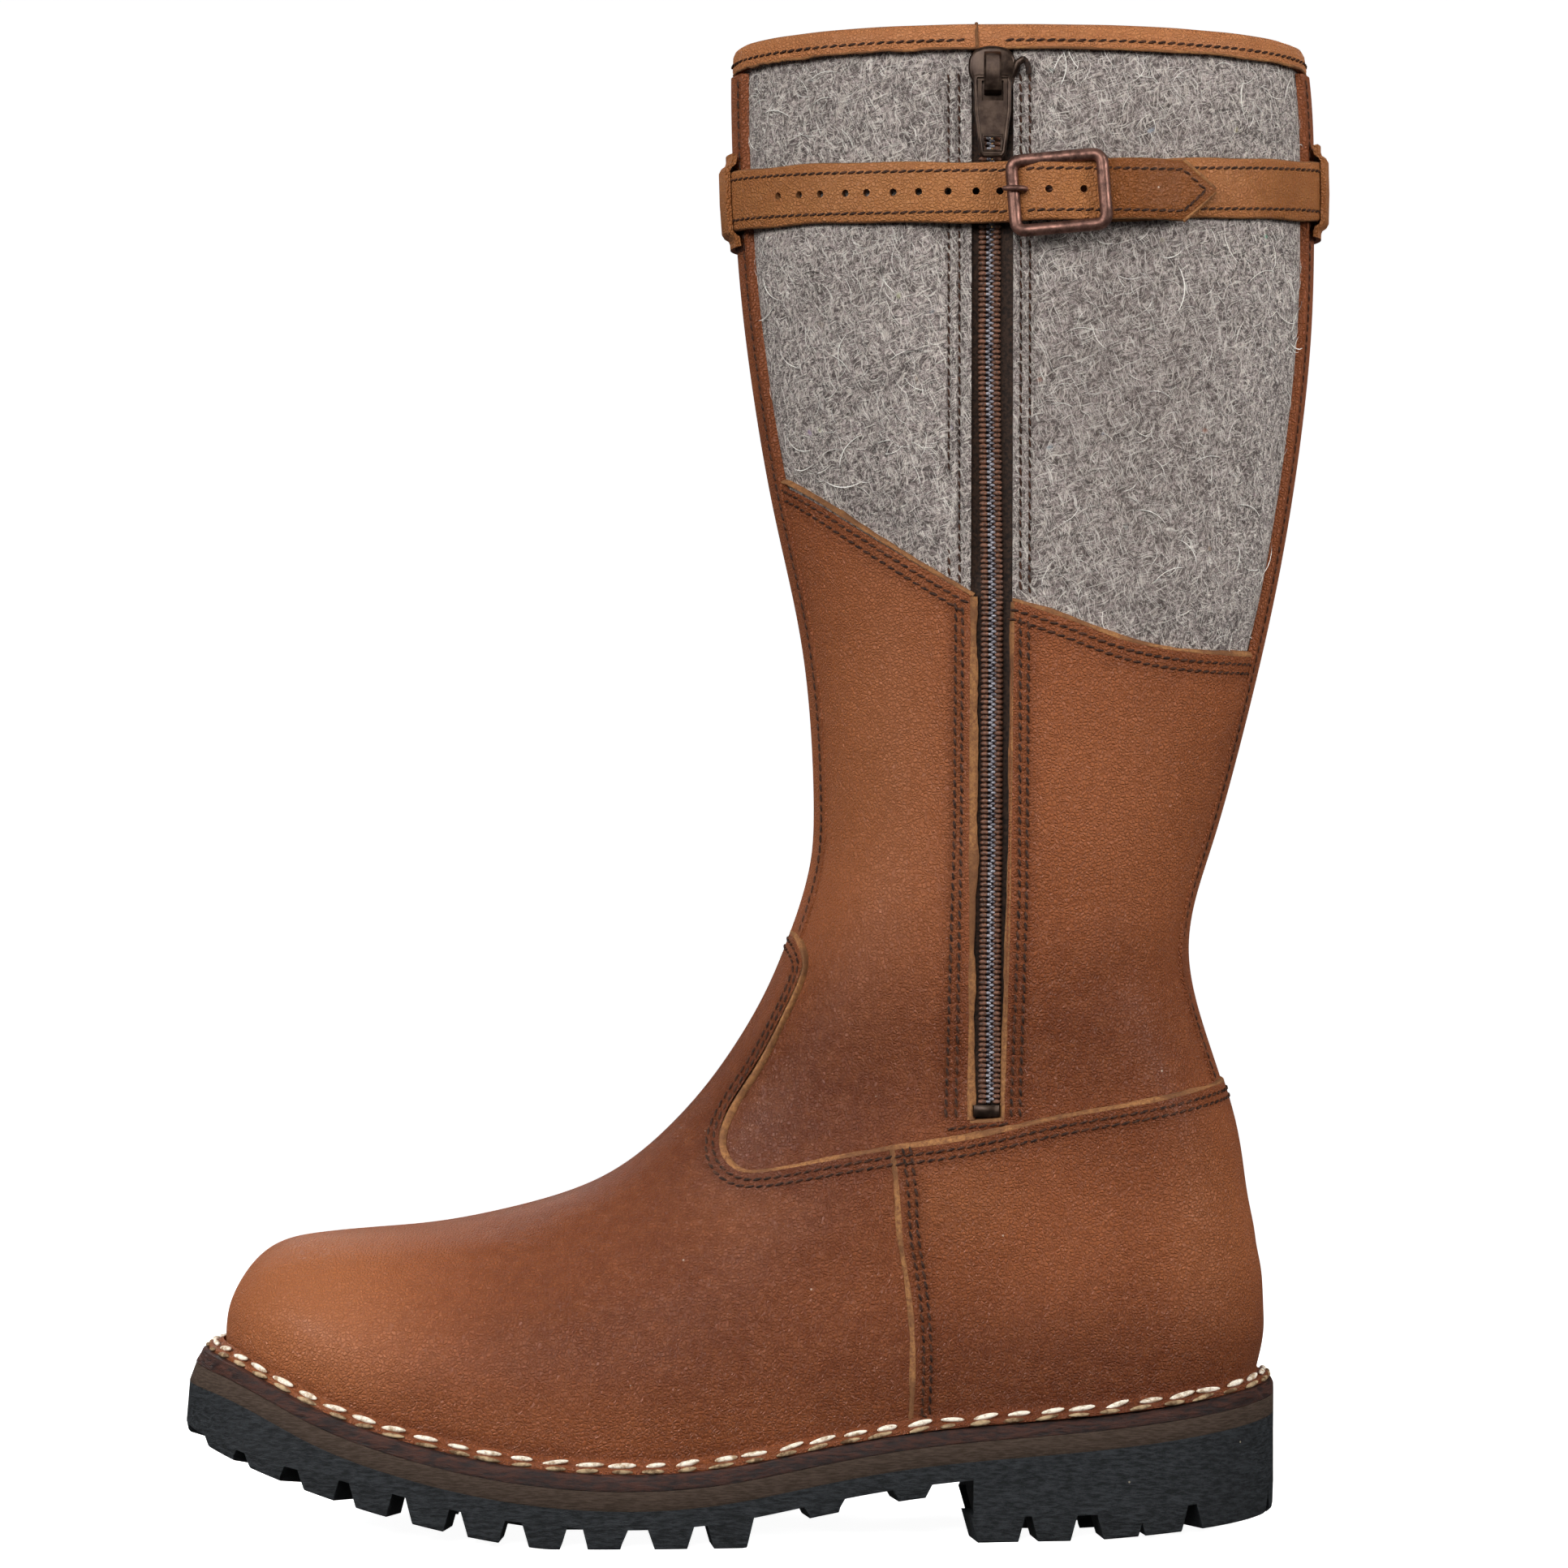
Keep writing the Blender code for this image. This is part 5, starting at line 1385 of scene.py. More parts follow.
stitch_level = level_of_z(COLLAR_STITCH_Z)
sew((np.linspace(rear_turn + 0.02, BAND_JOIN, 120), np.full(120, stitch_level)), -0.95)
sew((np.linspace(0.001, seam_turn - 0.006, 60), np.full(60, stitch_level)), -0.52)
places, along, up = gathered()
places[:, 2] += COLLAR_RISE * np.clip(-places[:, 1] / CALF_HALF, 0, 1)
stitch = thread_grain(STITCH_SIZE)
collar_stitches = pressed("collar_stitches", stitch, sewing_thread, places, along, up)
print("collar stitches", len(places))

# %% [markdown]
# The zip is a nylon coil on woven tape. The tape is a close polyester weave, dull with a fine tooth.
# Each half of the coil is wrapped in thread, a ribbed brown cord, and between the two the drawn
# nylon of the teeth is smooth and glints. Their pale grey colour is a painted highlight of that glint.

# %% Zip materials
zip_cloth = mottled(
    "zip_tape_weave", 0.9, 3, "#1d1410", "#3b2a20", uneven=0.6, bump=(0.7, 0.3), Roughness=0.9, IOR=1.4
)
coil_thread = mottled("coil_wrapping_thread", 0.8, 2, "#3e2619", "#714833", Roughness=0.6)
# Painted highlight: the dark teeth are given a pale grey colour so that they glint
coil_nylon_painted_glint = mottled(
    "coil_nylon_painted_glint", 2.0, 2, "#443e44", "#8a868c", Roughness=0.16, Coat_Weight=0.8, Coat_Roughness=0.06
)

# %% [markdown]
# A tape is a thin bar that follows the form up the slot. The coil's cords and teeth are columns of
# one rounded grain, the two halves of the teeth half a pitch out of step.

# %% Zip tapes and coil
ZIP_MIDDLE_X = 66.9
TOOTH_PITCH = 1.45
COIL_Z = (122.5, 403.0)
# The closed coil wanders a little sideways: heights and drift
COIL_DRIFT = ((120, 260, 330, 410), (0, -0.2, -1.1, -0.6))
CORD_SIZE = (1.25, 0.74, 0.85)
TOOTH_SIZE = (0.85, 0.55, 0.75)

TAPE_Z = (117.0, 417.5)
TAPE_FACES = (-5.3, -4.2)


def zip_tape(name, x_from, x_to, node):
    """One tape of the zip, from its foot to the collar."""
    heights = np.linspace(*TAPE_Z, 120)
    back, face = TAPE_FACES
    loop = ((x_from, back), (x_from, face), (x_to, face), (x_to, back))
    columns = []
    for x, out in loop:
        turn, level = on_side(np.full(len(heights), x), heights)
        columns.append(skin(turn, level, out))
    shape = grid_shape(np.stack(columns, 1))
    piece = finish_piece(name, shape, [zip_cloth])
    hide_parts(node)


zip_tape("zip_tape_ahead", 60.0, 66.2, "zip_tape_front")
zip_tape("zip_tape_behind", 67.4, 74.0, "zip_tape_rear")


def coil_column(x, out, shift):
    """Places, directions and normals up one column of the coil."""
    heights = np.arange(COIL_Z[0] + shift, COIL_Z[1], TOOTH_PITCH)
    turn, level = on_side(x + np.interp(heights, *COIL_DRIFT), heights)
    around, _ = slopes(turn, level)
    return skin(turn, level, out), unit(around), outward(turn, level)


def pressed_columns(name, columns, size, finish):
    """One piece of grains pressed up several columns."""
    places, along, up = (np.concatenate(parts) for parts in zip(*columns))
    piece = pressed(name, thread_grain(size, 8, 5), finish, places, along, up)
    return piece


cords = [coil_column(64.85, -3.6, 0.0), coil_column(68.85, -3.6, 0.0)]
coil_cords = pressed_columns("coil_cords", cords, CORD_SIZE, coil_thread)
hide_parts("zip_chain")
teeth = [coil_column(66.35, -3.75, 0.0), coil_column(67.4, -3.75, TOOTH_PITCH / 2)]
pressed_columns("coil_teeth", teeth, TOOTH_SIZE, coil_nylon_painted_glint)
print("coil teeth", sum(len(column[0]) for column in teeth))

# %% [markdown]
# The slider, its pull and the end stop are zinc castings, tumbled smooth and lacquered dark
# brown, so they are dim with a clear, slightly soft shine along their rounded rims.

# %% Lacquered metal
lacquer = mottled(
    "brown_lacquered_zinc", 2.5, 4, "#2c1f18", "#493a30", (0.35, 0.7), 0.6, dull=(0.3, 0.7, 0.32, 0.46),
    Metallic=0.8, Coat_Weight=0.06, Coat_Roughness=0.2,
)

# %% [markdown]
# The slider is two plates with the coil between them and a bridge on top. A plate is an outline
# given a thickness and a bevel. The bridge is a flat bar, swept over the pull's axle and thin, so
# that the pull can swing under it.

# %% Slider
SLIDER_FACE_Y = skin(*on_side(ZIP_MIDDLE_X, 408.0), -0.6)[0, 1]
SLIDER_MIDDLE_Z = 407.6
SLIDER_OUTLINE = (
    (-4.6, 7.4), (-2.6, 8.2), (2.6, 8.2), (4.6, 7.4), (6.2, 5.4), (6.6, 2.6), (6.2, 0.2), (5.2, -2.0),
    (5.3, -4.4), (4.6, -6.6), (-4.6, -6.6), (-5.3, -4.4), (-5.2, -2.0), (-6.2, 0.2), (-6.6, 2.6),
    (-6.2, 5.4),
)
# The bridge's path: height, distance behind the slider's face, and half its width
BRIDGE = (
    (414.4, 0.4, 2.2), (414.2, -1.6, 2.3), (413.0, -3.3, 2.4), (411.0, -3.9, 2.45),
    (405.4, -3.9, 2.45), (403.4, -3.3, 2.4), (402.4, -1.8, 2.3), (402.2, 0.4, 2.2),
)
# The bridge's section: across, as a share of its half width, and through it in mm
BRIDGE_SECTION = ((-1, 0.35), (-0.75, -0.25), (0.75, -0.25), (1, 0.35), (1, 0.8), (-1, 0.8))


def moved(shape, x, y, z):
    """A shape carried to its place on the boot."""
    bmesh.ops.translate(shape, verts=shape.verts, vec=to_world((x, y, z)))
    return shape


outline = smooth_line(SLIDER_OUTLINE + SLIDER_OUTLINE[:1], 3)[:-1]
plate = moved(slab(outline, 2.6, 1.1), ZIP_MIDDLE_X, SLIDER_FACE_Y - 0.4, SLIDER_MIDDLE_Z)
foot = moved(slab(outline * 0.96, 1.4, 0.5), ZIP_MIDDLE_X, SLIDER_FACE_Y + 3.0, SLIDER_MIDDLE_Z)
bar = []
for z, y, half in BRIDGE:
    bar.append([(ZIP_MIDDLE_X + half * dx, SLIDER_FACE_Y + y + dy, z) for dx, dy in BRIDGE_SECTION])
bridge = grid_shape(bar)
slider = finish_piece("slider_casting", join_shapes([plate, foot, bridge]), [lacquer], 35)
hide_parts("zip_slider")

# %% [markdown]
# The pull is a flat casting with an eye, a window and a raised rim. It is the boot's one moving
# piece and rides on a body of its own. The plate is cut from its outline, and a bar laid round it
# and round the window gives the rim.

# %% Pull tab
AXLE = (ZIP_MIDDLE_X, SLIDER_FACE_Y - 1.75, 407.0)
PULL_OUTLINE = (
    (-4.9, 0.7), (4.9, 0.7), (5.3, -1.0), (5.2, -9.0), (4.5, -14.0), (3.6, -21.0), (2.7, -22.1),
    (-2.7, -22.1), (-3.6, -21.0), (-4.5, -14.0), (-5.2, -9.0), (-5.3, -1.0),
)
PULL_THICK = 1.1
# Half width, foot and top of the eye and the window, below the axle
PULL_EYE = (3.0, -6.4, -0.9)
PULL_WINDOW = (2.2, -20.0, -16.4)
RIM_WINDOW = ((-2.5, -20.3), (2.5, -20.3), (2.6, -16.0), (-2.6, -16.0))
# The rim's path is the outline drawn in towards the pull's middle
PULL_MIDDLE_Z = -10.7
RIM_SHARE_X = 0.88
RIM_SHARE_Z = 0.955


def on_axle(shape):
    """A shape of the pull carried to its axle."""
    return moved(shape, *AXLE)


def opening(half, low, high):
    """A cutter for a hole through the pull."""
    ring = [(-half, low), (half, low), (half, high), (-half, high)]
    shape = slab(ring, 6)
    bmesh.ops.translate(shape, verts=shape.verts, vec=(0, -3 * MM, 0))
    return finish_piece("opening", on_axle(shape), [], 0, body=None)


plate = slab(PULL_OUTLINE, PULL_THICK, 0.3)
bmesh.ops.translate(plate, verts=plate.verts, vec=(0, -0.45 * MM, 0))
pull = finish_piece("pull_tab", on_axle(plate), [lacquer], 35, body="pull")
cut(pull, "DIFFERENCE", opening(*PULL_EYE))
cut(pull, "DIFFERENCE", opening(*PULL_WINDOW))
pull.data.shade_flat()
rim_path = []
for x, z in PULL_OUTLINE:
    rim_path.append((x * RIM_SHARE_X, -0.35, PULL_MIDDLE_Z + (z - PULL_MIDDLE_Z) * RIM_SHARE_Z))
window_path = [(x, -0.3, z) for x, z in RIM_WINDOW]
outer_rim = tube(np.asarray(rim_path) + AXLE, 0.6, 8, closed=True)
window_rim = tube(np.asarray(window_path) + AXLE, 0.45, 6, closed=True)
pull_rim = finish_piece("pull_tab_rim", join_shapes([outer_rim, window_rim]), [lacquer], 0, body="pull")
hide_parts("zip_pull")

# %% [markdown]
# Beyond the slider the coil's rear half ends in a short curl, held by a crimped clip. A bar along
# a bent path makes it, thick and thin by turns as the coil's windings are.

# %% Loose end of the zip
# Places in the side view and moves from the form
CURL = (
    (71.5, 404.0, -2.6), (72.6, 408.0, -2.0), (74.0, 411.4, -1.2), (75.6, 412.4, -0.9),
    (76.8, 410.6, -1.2), (77.0, 408.2, -1.8),
)
CURL_STEPS = 26
curl_path = np.array([skin(*on_side(x, z), out)[0] for x, z, out in CURL])
curl_at = np.linspace(0, len(CURL) - 1, CURL_STEPS)
curl_bend = [spline(range(len(CURL)), curl_path[:, k])(curl_at) for k in range(3)]
curl_radius = 0.75 + 0.12 * (np.arange(CURL_STEPS) % 2)
curl = finish_piece("zip_loose_end", tube(np.stack(curl_bend, -1), curl_radius, 8), [zip_cloth], 0)
clip = finish_piece("zip_end_clip", tube(curl_path[1:4] + (0, -0.3, 0), 1.05, 8), [lacquer], 50)

# %% [markdown]
# The stop at the zip's foot is a small clamp over both tapes. Five crowned sections, the outer
# ones a little lower, make a rounded bar that follows the form.

# %% Zip end stop
STOP_X = (62.0, 62.4, 64.0, 66.0, 68.0, 69.4, 69.8)
STOP_CROWN = (0.0, 0.9, 1.5, 1.65, 1.5, 0.9, 0.0)
STOP_Z = (118.4, 121.6)
STOP_OUT = -2.9
STOP_BACK = -3.4
stop_places = []
for z in np.linspace(*STOP_Z, 5):
    turn, level = on_side(np.array(STOP_X), np.full(len(STOP_X), z))
    crown = STOP_OUT + np.array(STOP_CROWN) * (1 - 0.35 * abs((z - 120) / 1.6) ** 4)
    back = skin(turn, level, np.full(len(STOP_X), STOP_BACK))
    stop_places.append(np.concatenate([skin(turn, level, crown), back[::-1]]))
stop = finish_piece("zip_end_stop", grid_shape(stop_places), [lacquer])
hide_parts("zip_stop")

# %% [markdown]
# The strap is one length of firm leather. It goes once round the shaft, and its free end passes
# under the buckle's near bar, over the middle one and under the far one. Its way is a height at each
# turn and a distance off the form, more where it lies over strips, buckle and itself.

# %% The strap's way round the shaft
STRAP_WIDTH = 17.0
STRAP_THICK = 1.8
STRAP_TURNS = (-0.25, 0, 0.25, 0.5, 0.75, 1, 1.25, 1.5)
STRAP_HEIGHTS = (377.0, 377.6, 375.4, 380.2, 377.0, 377.6, 375.4, 380.2)
# Along the buckled stretch: places, and how far off the form the strap lies there
STRAP_LAYERS_X = (60, 70, 72.3, 77, 80, 84.7, 92, 100, 106, 112, 118, 140)
STRAP_LAYERS_OUT = (0.3, 0.3, 0.6, 3.7, 4.6, 4.8, 4.6, 4.5, 3.9, 2.8, 1.9, 1.4)
STRAP_OUT = 0.3
STRAP_SNUG = 1.3
strap_height = spline(STRAP_TURNS, STRAP_HEIGHTS)


def strap_out(turn):
    """How far the strap's underside lies off the form: snug on the leg, raised over the buckle."""
    point = form(turn, level_of_z(strap_height(turn)))
    x = point[..., 0]
    over = np.interp(x, STRAP_LAYERS_X, STRAP_LAYERS_OUT)
    buckled = np.where(turn > 1, np.where(x < STRAP_LAYERS_X[0], STRAP_LAYERS_OUT[0], over), STRAP_OUT)
    from_strips = np.clip((np.abs(point[..., 1]) - 13) / 11, 0, 1)
    from_buckle = np.where(turn > 1, np.clip((50 - x) / 14, 0, 1), 1.0)
    return buckled - STRAP_SNUG * from_strips * from_buckle


print("strap's height in front", STRAP_HEIGHTS[1], "and behind", STRAP_HEIGHTS[3])

# %% [markdown]
# The strap's section has rounded edges. Swept along its way it gives one closed bar, which narrows
# to a point at its free end. It waves a little, as worn leather does.

# %% Strap
STRAP_START_X = 88.0
STRAP_TIP_X = 127.8
STRAP_POINT = 9.0
# Across the strap's section: place between its edges and height in its thickness
STRAP_SECTION = (
    (-1.0, 0.25), (-0.99, 0.65), (-0.955, 0.9), (-0.9, 1.0), (-0.45, 1.02), (0.0, 1.03),
    (0.45, 1.02), (0.9, 1.0), (0.955, 0.9), (0.99, 0.65), (1.0, 0.25), (0.97, 0.0), (0.0, 0.0),
    (-0.97, 0.0),
)
start_turn = turn_of_x(STRAP_START_X, 376)
tip_turn = 1 + turn_of_x(STRAP_TIP_X, 378)
point_turn = 1 + turn_of_x(STRAP_TIP_X - STRAP_POINT, 378)
round_leg = np.linspace(start_turn, 1.2, 170)[:-1]
buckled_end = np.linspace(1.2, point_turn, 90)[:-1]
turns = np.r_[round_leg, buckled_end, np.linspace(point_turn, tip_turn, 12)]
half = np.interp(turns, [point_turn, tip_turn], [STRAP_WIDTH / 2, 0.5])
wave = 0.25 * np.sin(turns * 40) + 0.15 * np.sin(turns * 97)
across, through = np.array(STRAP_SECTION).T
strap_levels = level_of_z((strap_height(turns) + wave)[:, None] + across * half[:, None])
outs = strap_out(turns)[:, None] + through * STRAP_THICK
shape = grid_shape(skin(turns[:, None], strap_levels, outs))
strap = finish_piece("strap_leather", shape, [strap_hide, raw_edge])

# %% [markdown]
# The holes are punched right through. The strap's edges show raw leather, and its free end, which
# is pulled every day, is the darker hide.

# %% Holes and the strap's faces
STRAP_HOLES_X = (8.1, 13.9, 19.7, 26.6, 32.4, 39.8, 46.9, 54.9, 62.5, 69.0, 82.0, 91.2)
HOLE_WIDTH = 2.1
PUNCH_REACH = 3
# Where the free end lies: places along the boot, and the least move from the form
FREE_END_X = (98.5, 130.0)
FREE_END_OUT = 2.0
# A face that looks up or down by more than this is part of an edge
EDGE_FACING = 0.55
punches = []
for x in STRAP_HOLES_X:
    turn = np.array([1 + turn_of_x(x, 376.4)])
    level = level_of_z(strap_height(turn))
    middle, out = skin(turn, level, strap_out(turn) + 0.9)[0], outward(turn, level)[0]
    ends = [middle - out * PUNCH_REACH, middle + out * PUNCH_REACH]
    punches.append(tube(ends, HOLE_WIDTH / 2, 12))
punch = finish_piece("punches", join_shapes(punches), [], 0, body=None)
for face in punch.data.polygons:
    face.material_index = 1
cut(strap, "DIFFERENCE", punch)
strap.data.materials.append(strap_end_hide)
free_end = []
for face in strap.data.polygons:
    if FREE_END_X[0] < face.center.x / MM < FREE_END_X[1] and face.center.y < 0:
        free_end.append(face)
end_x, end_z = np.array([(face.center.x, face.center.z) for face in free_end]).T / MM
under = skin(*on_side(end_x, end_z), FREE_END_OUT)[:, 1] + MIDDLE_Y
for face, limit in zip(free_end, under):
    face.material_index = 2 if face.center.y / MM < limit else face.material_index
for face in strap.data.polygons:
    face.material_index = 1 if abs(face.normal.z) > EDGE_FACING else face.material_index
smooth(strap.data, 50)
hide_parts("strap")
print("holes", len(STRAP_HOLES_X), "and free end", len(free_end), "faces")

# %% [markdown]
# A thin bar of raw leather edges the pointed tip, and a row of stitches follows each edge of the
# strap. The rows skip the stretch that is hidden under the buckle's near bar, and meet at the tip.

# %% Tip and stitches of the strap
tip_turns = np.linspace(point_turn, tip_turn, 14)
tip_half = np.linspace(STRAP_WIDTH / 2, 0.4, 14)
tip_edges = []
for edge in (-1, 1):
    tip_levels = level_of_z(strap_height(tip_turns) + edge * tip_half)
    tip_edges.append(tube(skin(tip_turns, tip_levels, strap_out(tip_turns) + STRAP_THICK * 0.75), 0.6, 6))
strap_tip = finish_piece("strap_cut_tip", join_shapes(tip_edges), [raw_edge], 0)

STRAP_STITCH_PITCH = 2.5
STRAP_SEAM = STRAP_WIDTH / 2 - 2.8
STRAP_STITCH_OUT = STRAP_THICK + 0.02
# Share of the point that its two rows leave free, where they meet
TIP_FREE = 0.33
stretches = (
    (start_turn + 0.02, 1.0), (1.0, 1 + turn_of_x(71, 376)), (1 + turn_of_x(76, 376), point_turn)
)
for edge in (-1, 1):
    for low, high in stretches:
        row_turns = np.linspace(low, high, 160)
        row = (row_turns, level_of_z(strap_height(row_turns) + edge * STRAP_SEAM))
        stitch_turns = resampled(*row, STRAP_STITCH_PITCH, ends=False)[0]
        lie = np.interp(stitch_turns, row_turns, strap_out(row_turns))
        sew(row, lie + STRAP_STITCH_OUT, pitch=STRAP_STITCH_PITCH)
    row_turns = np.linspace(point_turn, tip_turn - (tip_turn - point_turn) * TIP_FREE, 20)
    row = (row_turns, level_of_z(strap_height(row_turns) + edge * np.linspace(STRAP_SEAM, 0, 20)))
    sew(row, strap_out(row_turns)[0] + STRAP_STITCH_OUT, pitch=STRAP_STITCH_PITCH)
places, along, up = gathered()
stitch = thread_grain(STITCH_SIZE)
strap_stitches = pressed("strap_stitches", stitch, sewing_thread, places, along, up)
print("strap stitches", len(places))

# %% [markdown]
# Two loops of leather, sewn on the front and back strips, keep the strap at its height. Each is a
# short band whose underside steps up over the strap and down again, so that it lies flat at its
# two ends where it is sewn.

# %% Keepers
# Up the keeper's underside: height from the strap's middle, and move from the form
KEEPER_ROWS = (
    (-13, 0.3), (-11.4, 0.3), (-10.2, 0.7), (-9.4, 1.9), (-8.4, 2.45), (0, 2.6), (8.4, 2.45),
    (9.4, 1.9), (10.2, 0.7), (11.4, 0.3), (13, 0.3),
)
KEEPER_THICK = 1.4
KEEPER_HALF_TURN = 1 / 30
KEEPERS = (("keeper_ahead", 1.0, "keeper_front"), ("keeper_behind", 0.5, "keeper_back"))
for name, ridge, node in KEEPERS:
    turns = np.linspace(ridge - KEEPER_HALF_TURN, ridge + KEEPER_HALF_TURN, 15)[:, None]
    heights, lows = np.array(KEEPER_ROWS).T
    middle = strap_height(ridge)
    under = skin(turns, level_of_z(middle + heights)[None], lows)
    over = skin(turns, level_of_z(middle + heights * 1.02)[None], lows + KEEPER_THICK)
    shape = grid_shape(np.concatenate([over, under[:, ::-1]], 1))
    keeper = finish_piece(name, shape, [strap_hide])
    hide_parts(node)

# %% [markdown]
# The buckle is bent from brass wire, copper plated and blackened, then rubbed back, so its
# hollows stay dark and its edges shine pinkish.

# %% Antique copper
old_copper = mottled(
    "antique_copper", 3.5, 6, "#503831", "#8a6559", (0.36, 0.64), 0.7, dull=(0.3, 0.7, 0.56, 0.4),
    Metallic=0.85, Roughness=0.4,
)

# %% [markdown]
# The frame is a round wire bent to a rectangle, so a tube along a path with rounded corners makes
# it. It leans out over the strap's layers. The prong is a thinner wire that rests on its near bar.

# %% Buckle and its prong
BUCKLE_MIDDLE = (85.0, 374.6)
BUCKLE_SIZE = (25.0, 19.4)
BUCKLE_CORNER = 2.6
BUCKLE_TILT = math.radians(4.5)
# The frame leans: how far its two upright bars lie from the form, and where
LEAN_X = (72.3, 98.5)
LEAN_OUT = (4.3, 8.4)
WIRE_RADIUS = 1.75
CENTRE_BAR = ((84.9, 367.0), (84.9, 385.0))
# The prong's way: place along the boot, move from the form, and radius
PRONG_Z = 375.6
PRONG = (
    (83.4, 3.4, 0.8), (80, 3.2, 0.8), (77.6, 3.2, 0.8), (76.2, 4.6, 0.8), (75.2, 6.2, 0.8),
    (74.0, 6.9, 0.8), (72.3, 7.0, 0.85), (70.9, 6.8, 0.8), (70.0, 6.2, 0.6),
)
lean_y = [skin(*on_side(x, 376), out)[0, 1] for x, out in zip(LEAN_X, LEAN_OUT)]
frame_path = []
for corner_x, corner_z, first in ((1, 1, 0), (-1, 1, 90), (-1, -1, 180), (1, -1, 270)):
    for angle in np.radians(np.linspace(first, first + 90, 6)):
        frame_path.append((
            corner_x * (BUCKLE_SIZE[0] / 2 - BUCKLE_CORNER) + BUCKLE_CORNER * math.cos(angle),
            corner_z * (BUCKLE_SIZE[1] / 2 - BUCKLE_CORNER) + BUCKLE_CORNER * math.sin(angle),
        ))
cosine, sine = math.cos(BUCKLE_TILT), math.sin(BUCKLE_TILT)
turned = np.array(frame_path) @ np.array([[cosine, sine], [-sine, cosine]])
frame_x, frame_z = turned[:, 0] + BUCKLE_MIDDLE[0], turned[:, 1] + BUCKLE_MIDDLE[1]
frame_y = np.interp(frame_x, LEAN_X, lean_y)
wire = tube(np.stack([frame_x, frame_y, frame_z], -1), WIRE_RADIUS, 12, closed=True)
centre_bar = tube([(x, np.interp(x, LEAN_X, lean_y) + 0.9, z) for x, z in CENTRE_BAR], 0.9, 8)
buckle = finish_piece("buckle_frame", join_shapes([wire, centre_bar]), [old_copper], 60)
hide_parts("buckle")
prong_path = [skin(*on_side(x, PRONG_Z), out)[0] for x, out, _ in PRONG]
prong_shape = tube(prong_path, [radius for _, _, radius in PRONG], 8)
prong = finish_piece("buckle_tongue", prong_shape, [old_copper], 60)
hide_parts("buckle_prong")

# %% [markdown]
# The sole is built up in layers. The welt is shoulder leather, its edge inked dark and burnished to
# glossy streaks. The midsole is pressed cork and rubber, sanded to fine level lines. The outsole is
# vulcanised black rubber with a buffed edge: satin, with level scratches and pale grit.

# %% Sole materials
welt_hide = mottled(
    "burnished_welt", (5, 5, 1.2), 6, "#1b0e0c", "#472519", (0.38, 0.62), 0.7, bump=(1.0, 1.2),
    dull=(0.3, 0.7, 0.40, 0.62), Specular_IOR_Level=0.4,
)
midsole_board = mottled(
    "sanded_midsole", (3, 3, 0.4), 5, "#33281f", "#493b32", uneven=0.65, bump=(0.6, 0.4),
    Roughness=0.85, Specular_IOR_Level=0.2,
)
rubber = mottled(
    "buffed_rubber", (3.0, 3.0, 0.8), 6, "#121416", "#323538", (0.36, 0.66), 0.7,
    over=("TexVoronoi", 8, {"Randomness": 1.0}, (0.025, 0.045, 0.6, 0.0), "#b5a98e"),
    bump=(1.0, 0.7), dull=(0.3, 0.7, 0.5, 0.75), Specular_IOR_Level=0.2,
)

# %% [markdown]
# All layers share one outline in plan, a little larger lower down, and one curve along the boot.
# A plate is one skin: from the middle of its foot, out, up its edge and back to the middle of its
# top, so no separate cap is needed.

# %% Sole plates
PLAN_COLUMNS = "front_x back_x outer inner heel widest point round swing arch".split()
SOLE_PLANS = {
    "welt": (-158.2, 149.2, 54.5, 52.0, 0.69, 0.380, 3.0, 10.0, 6.0, 4.5),
    "midsole": (-160.2, 149.3, 54.8, 52.3, 0.69, 0.383, 3.0, 10.0, 6.0, 4.5),
    "outsole": (-162.4, 149.2, 55.0, 52.5, 0.69, 0.386, 3.0, 10.0, 6.0, 4.5),
}
# Depths below the welt's top where those outlines hold. The sanded edge runs smoothly through them
PLAN_DEPTHS = (0.5, 7.0, 13.0)
PLAN_ROWS = np.array(list(SOLE_PLANS.values()))
SOLE_TURNS = np.arange(320) / 320
# Steps round a plate's edge: inset and drop as shares of its radius
ROUNDING = ((1.0, 0.0), (0.3, 0.3), (0.0, 1.0))
# Depths of the layers' faces below the welt line
WELT_TOP = 0.5
WELT_FOOT = 5.0
MIDSOLE_FOOT = 10.4
OUTSOLE_FOOT = 15.5


def sole_edge(depth, turn, inset=0.0):
    """Places x, y on the sole's outline at a depth below the welt, moved inwards by an inset."""
    values = [np.interp(depth, PLAN_DEPTHS, column) for column in PLAN_ROWS.T]
    row = dict(zip(PLAN_COLUMNS, values))

    def at(turn):
        share, y = plan(turn % 1, row)
        return np.stack([row["front_x"] + (row["back_x"] - row["front_x"]) * share, y], -1)

    along = unit(at(turn + 0.001) - at(turn - 0.001))
    return at(turn) + np.stack([-along[..., 1], along[..., 0]], -1) * inset


def below_welt(depth):
    """A height along the boot that keeps a depth below the welt line."""

    def height(x):
        return sole_top(x) - depth

    return height


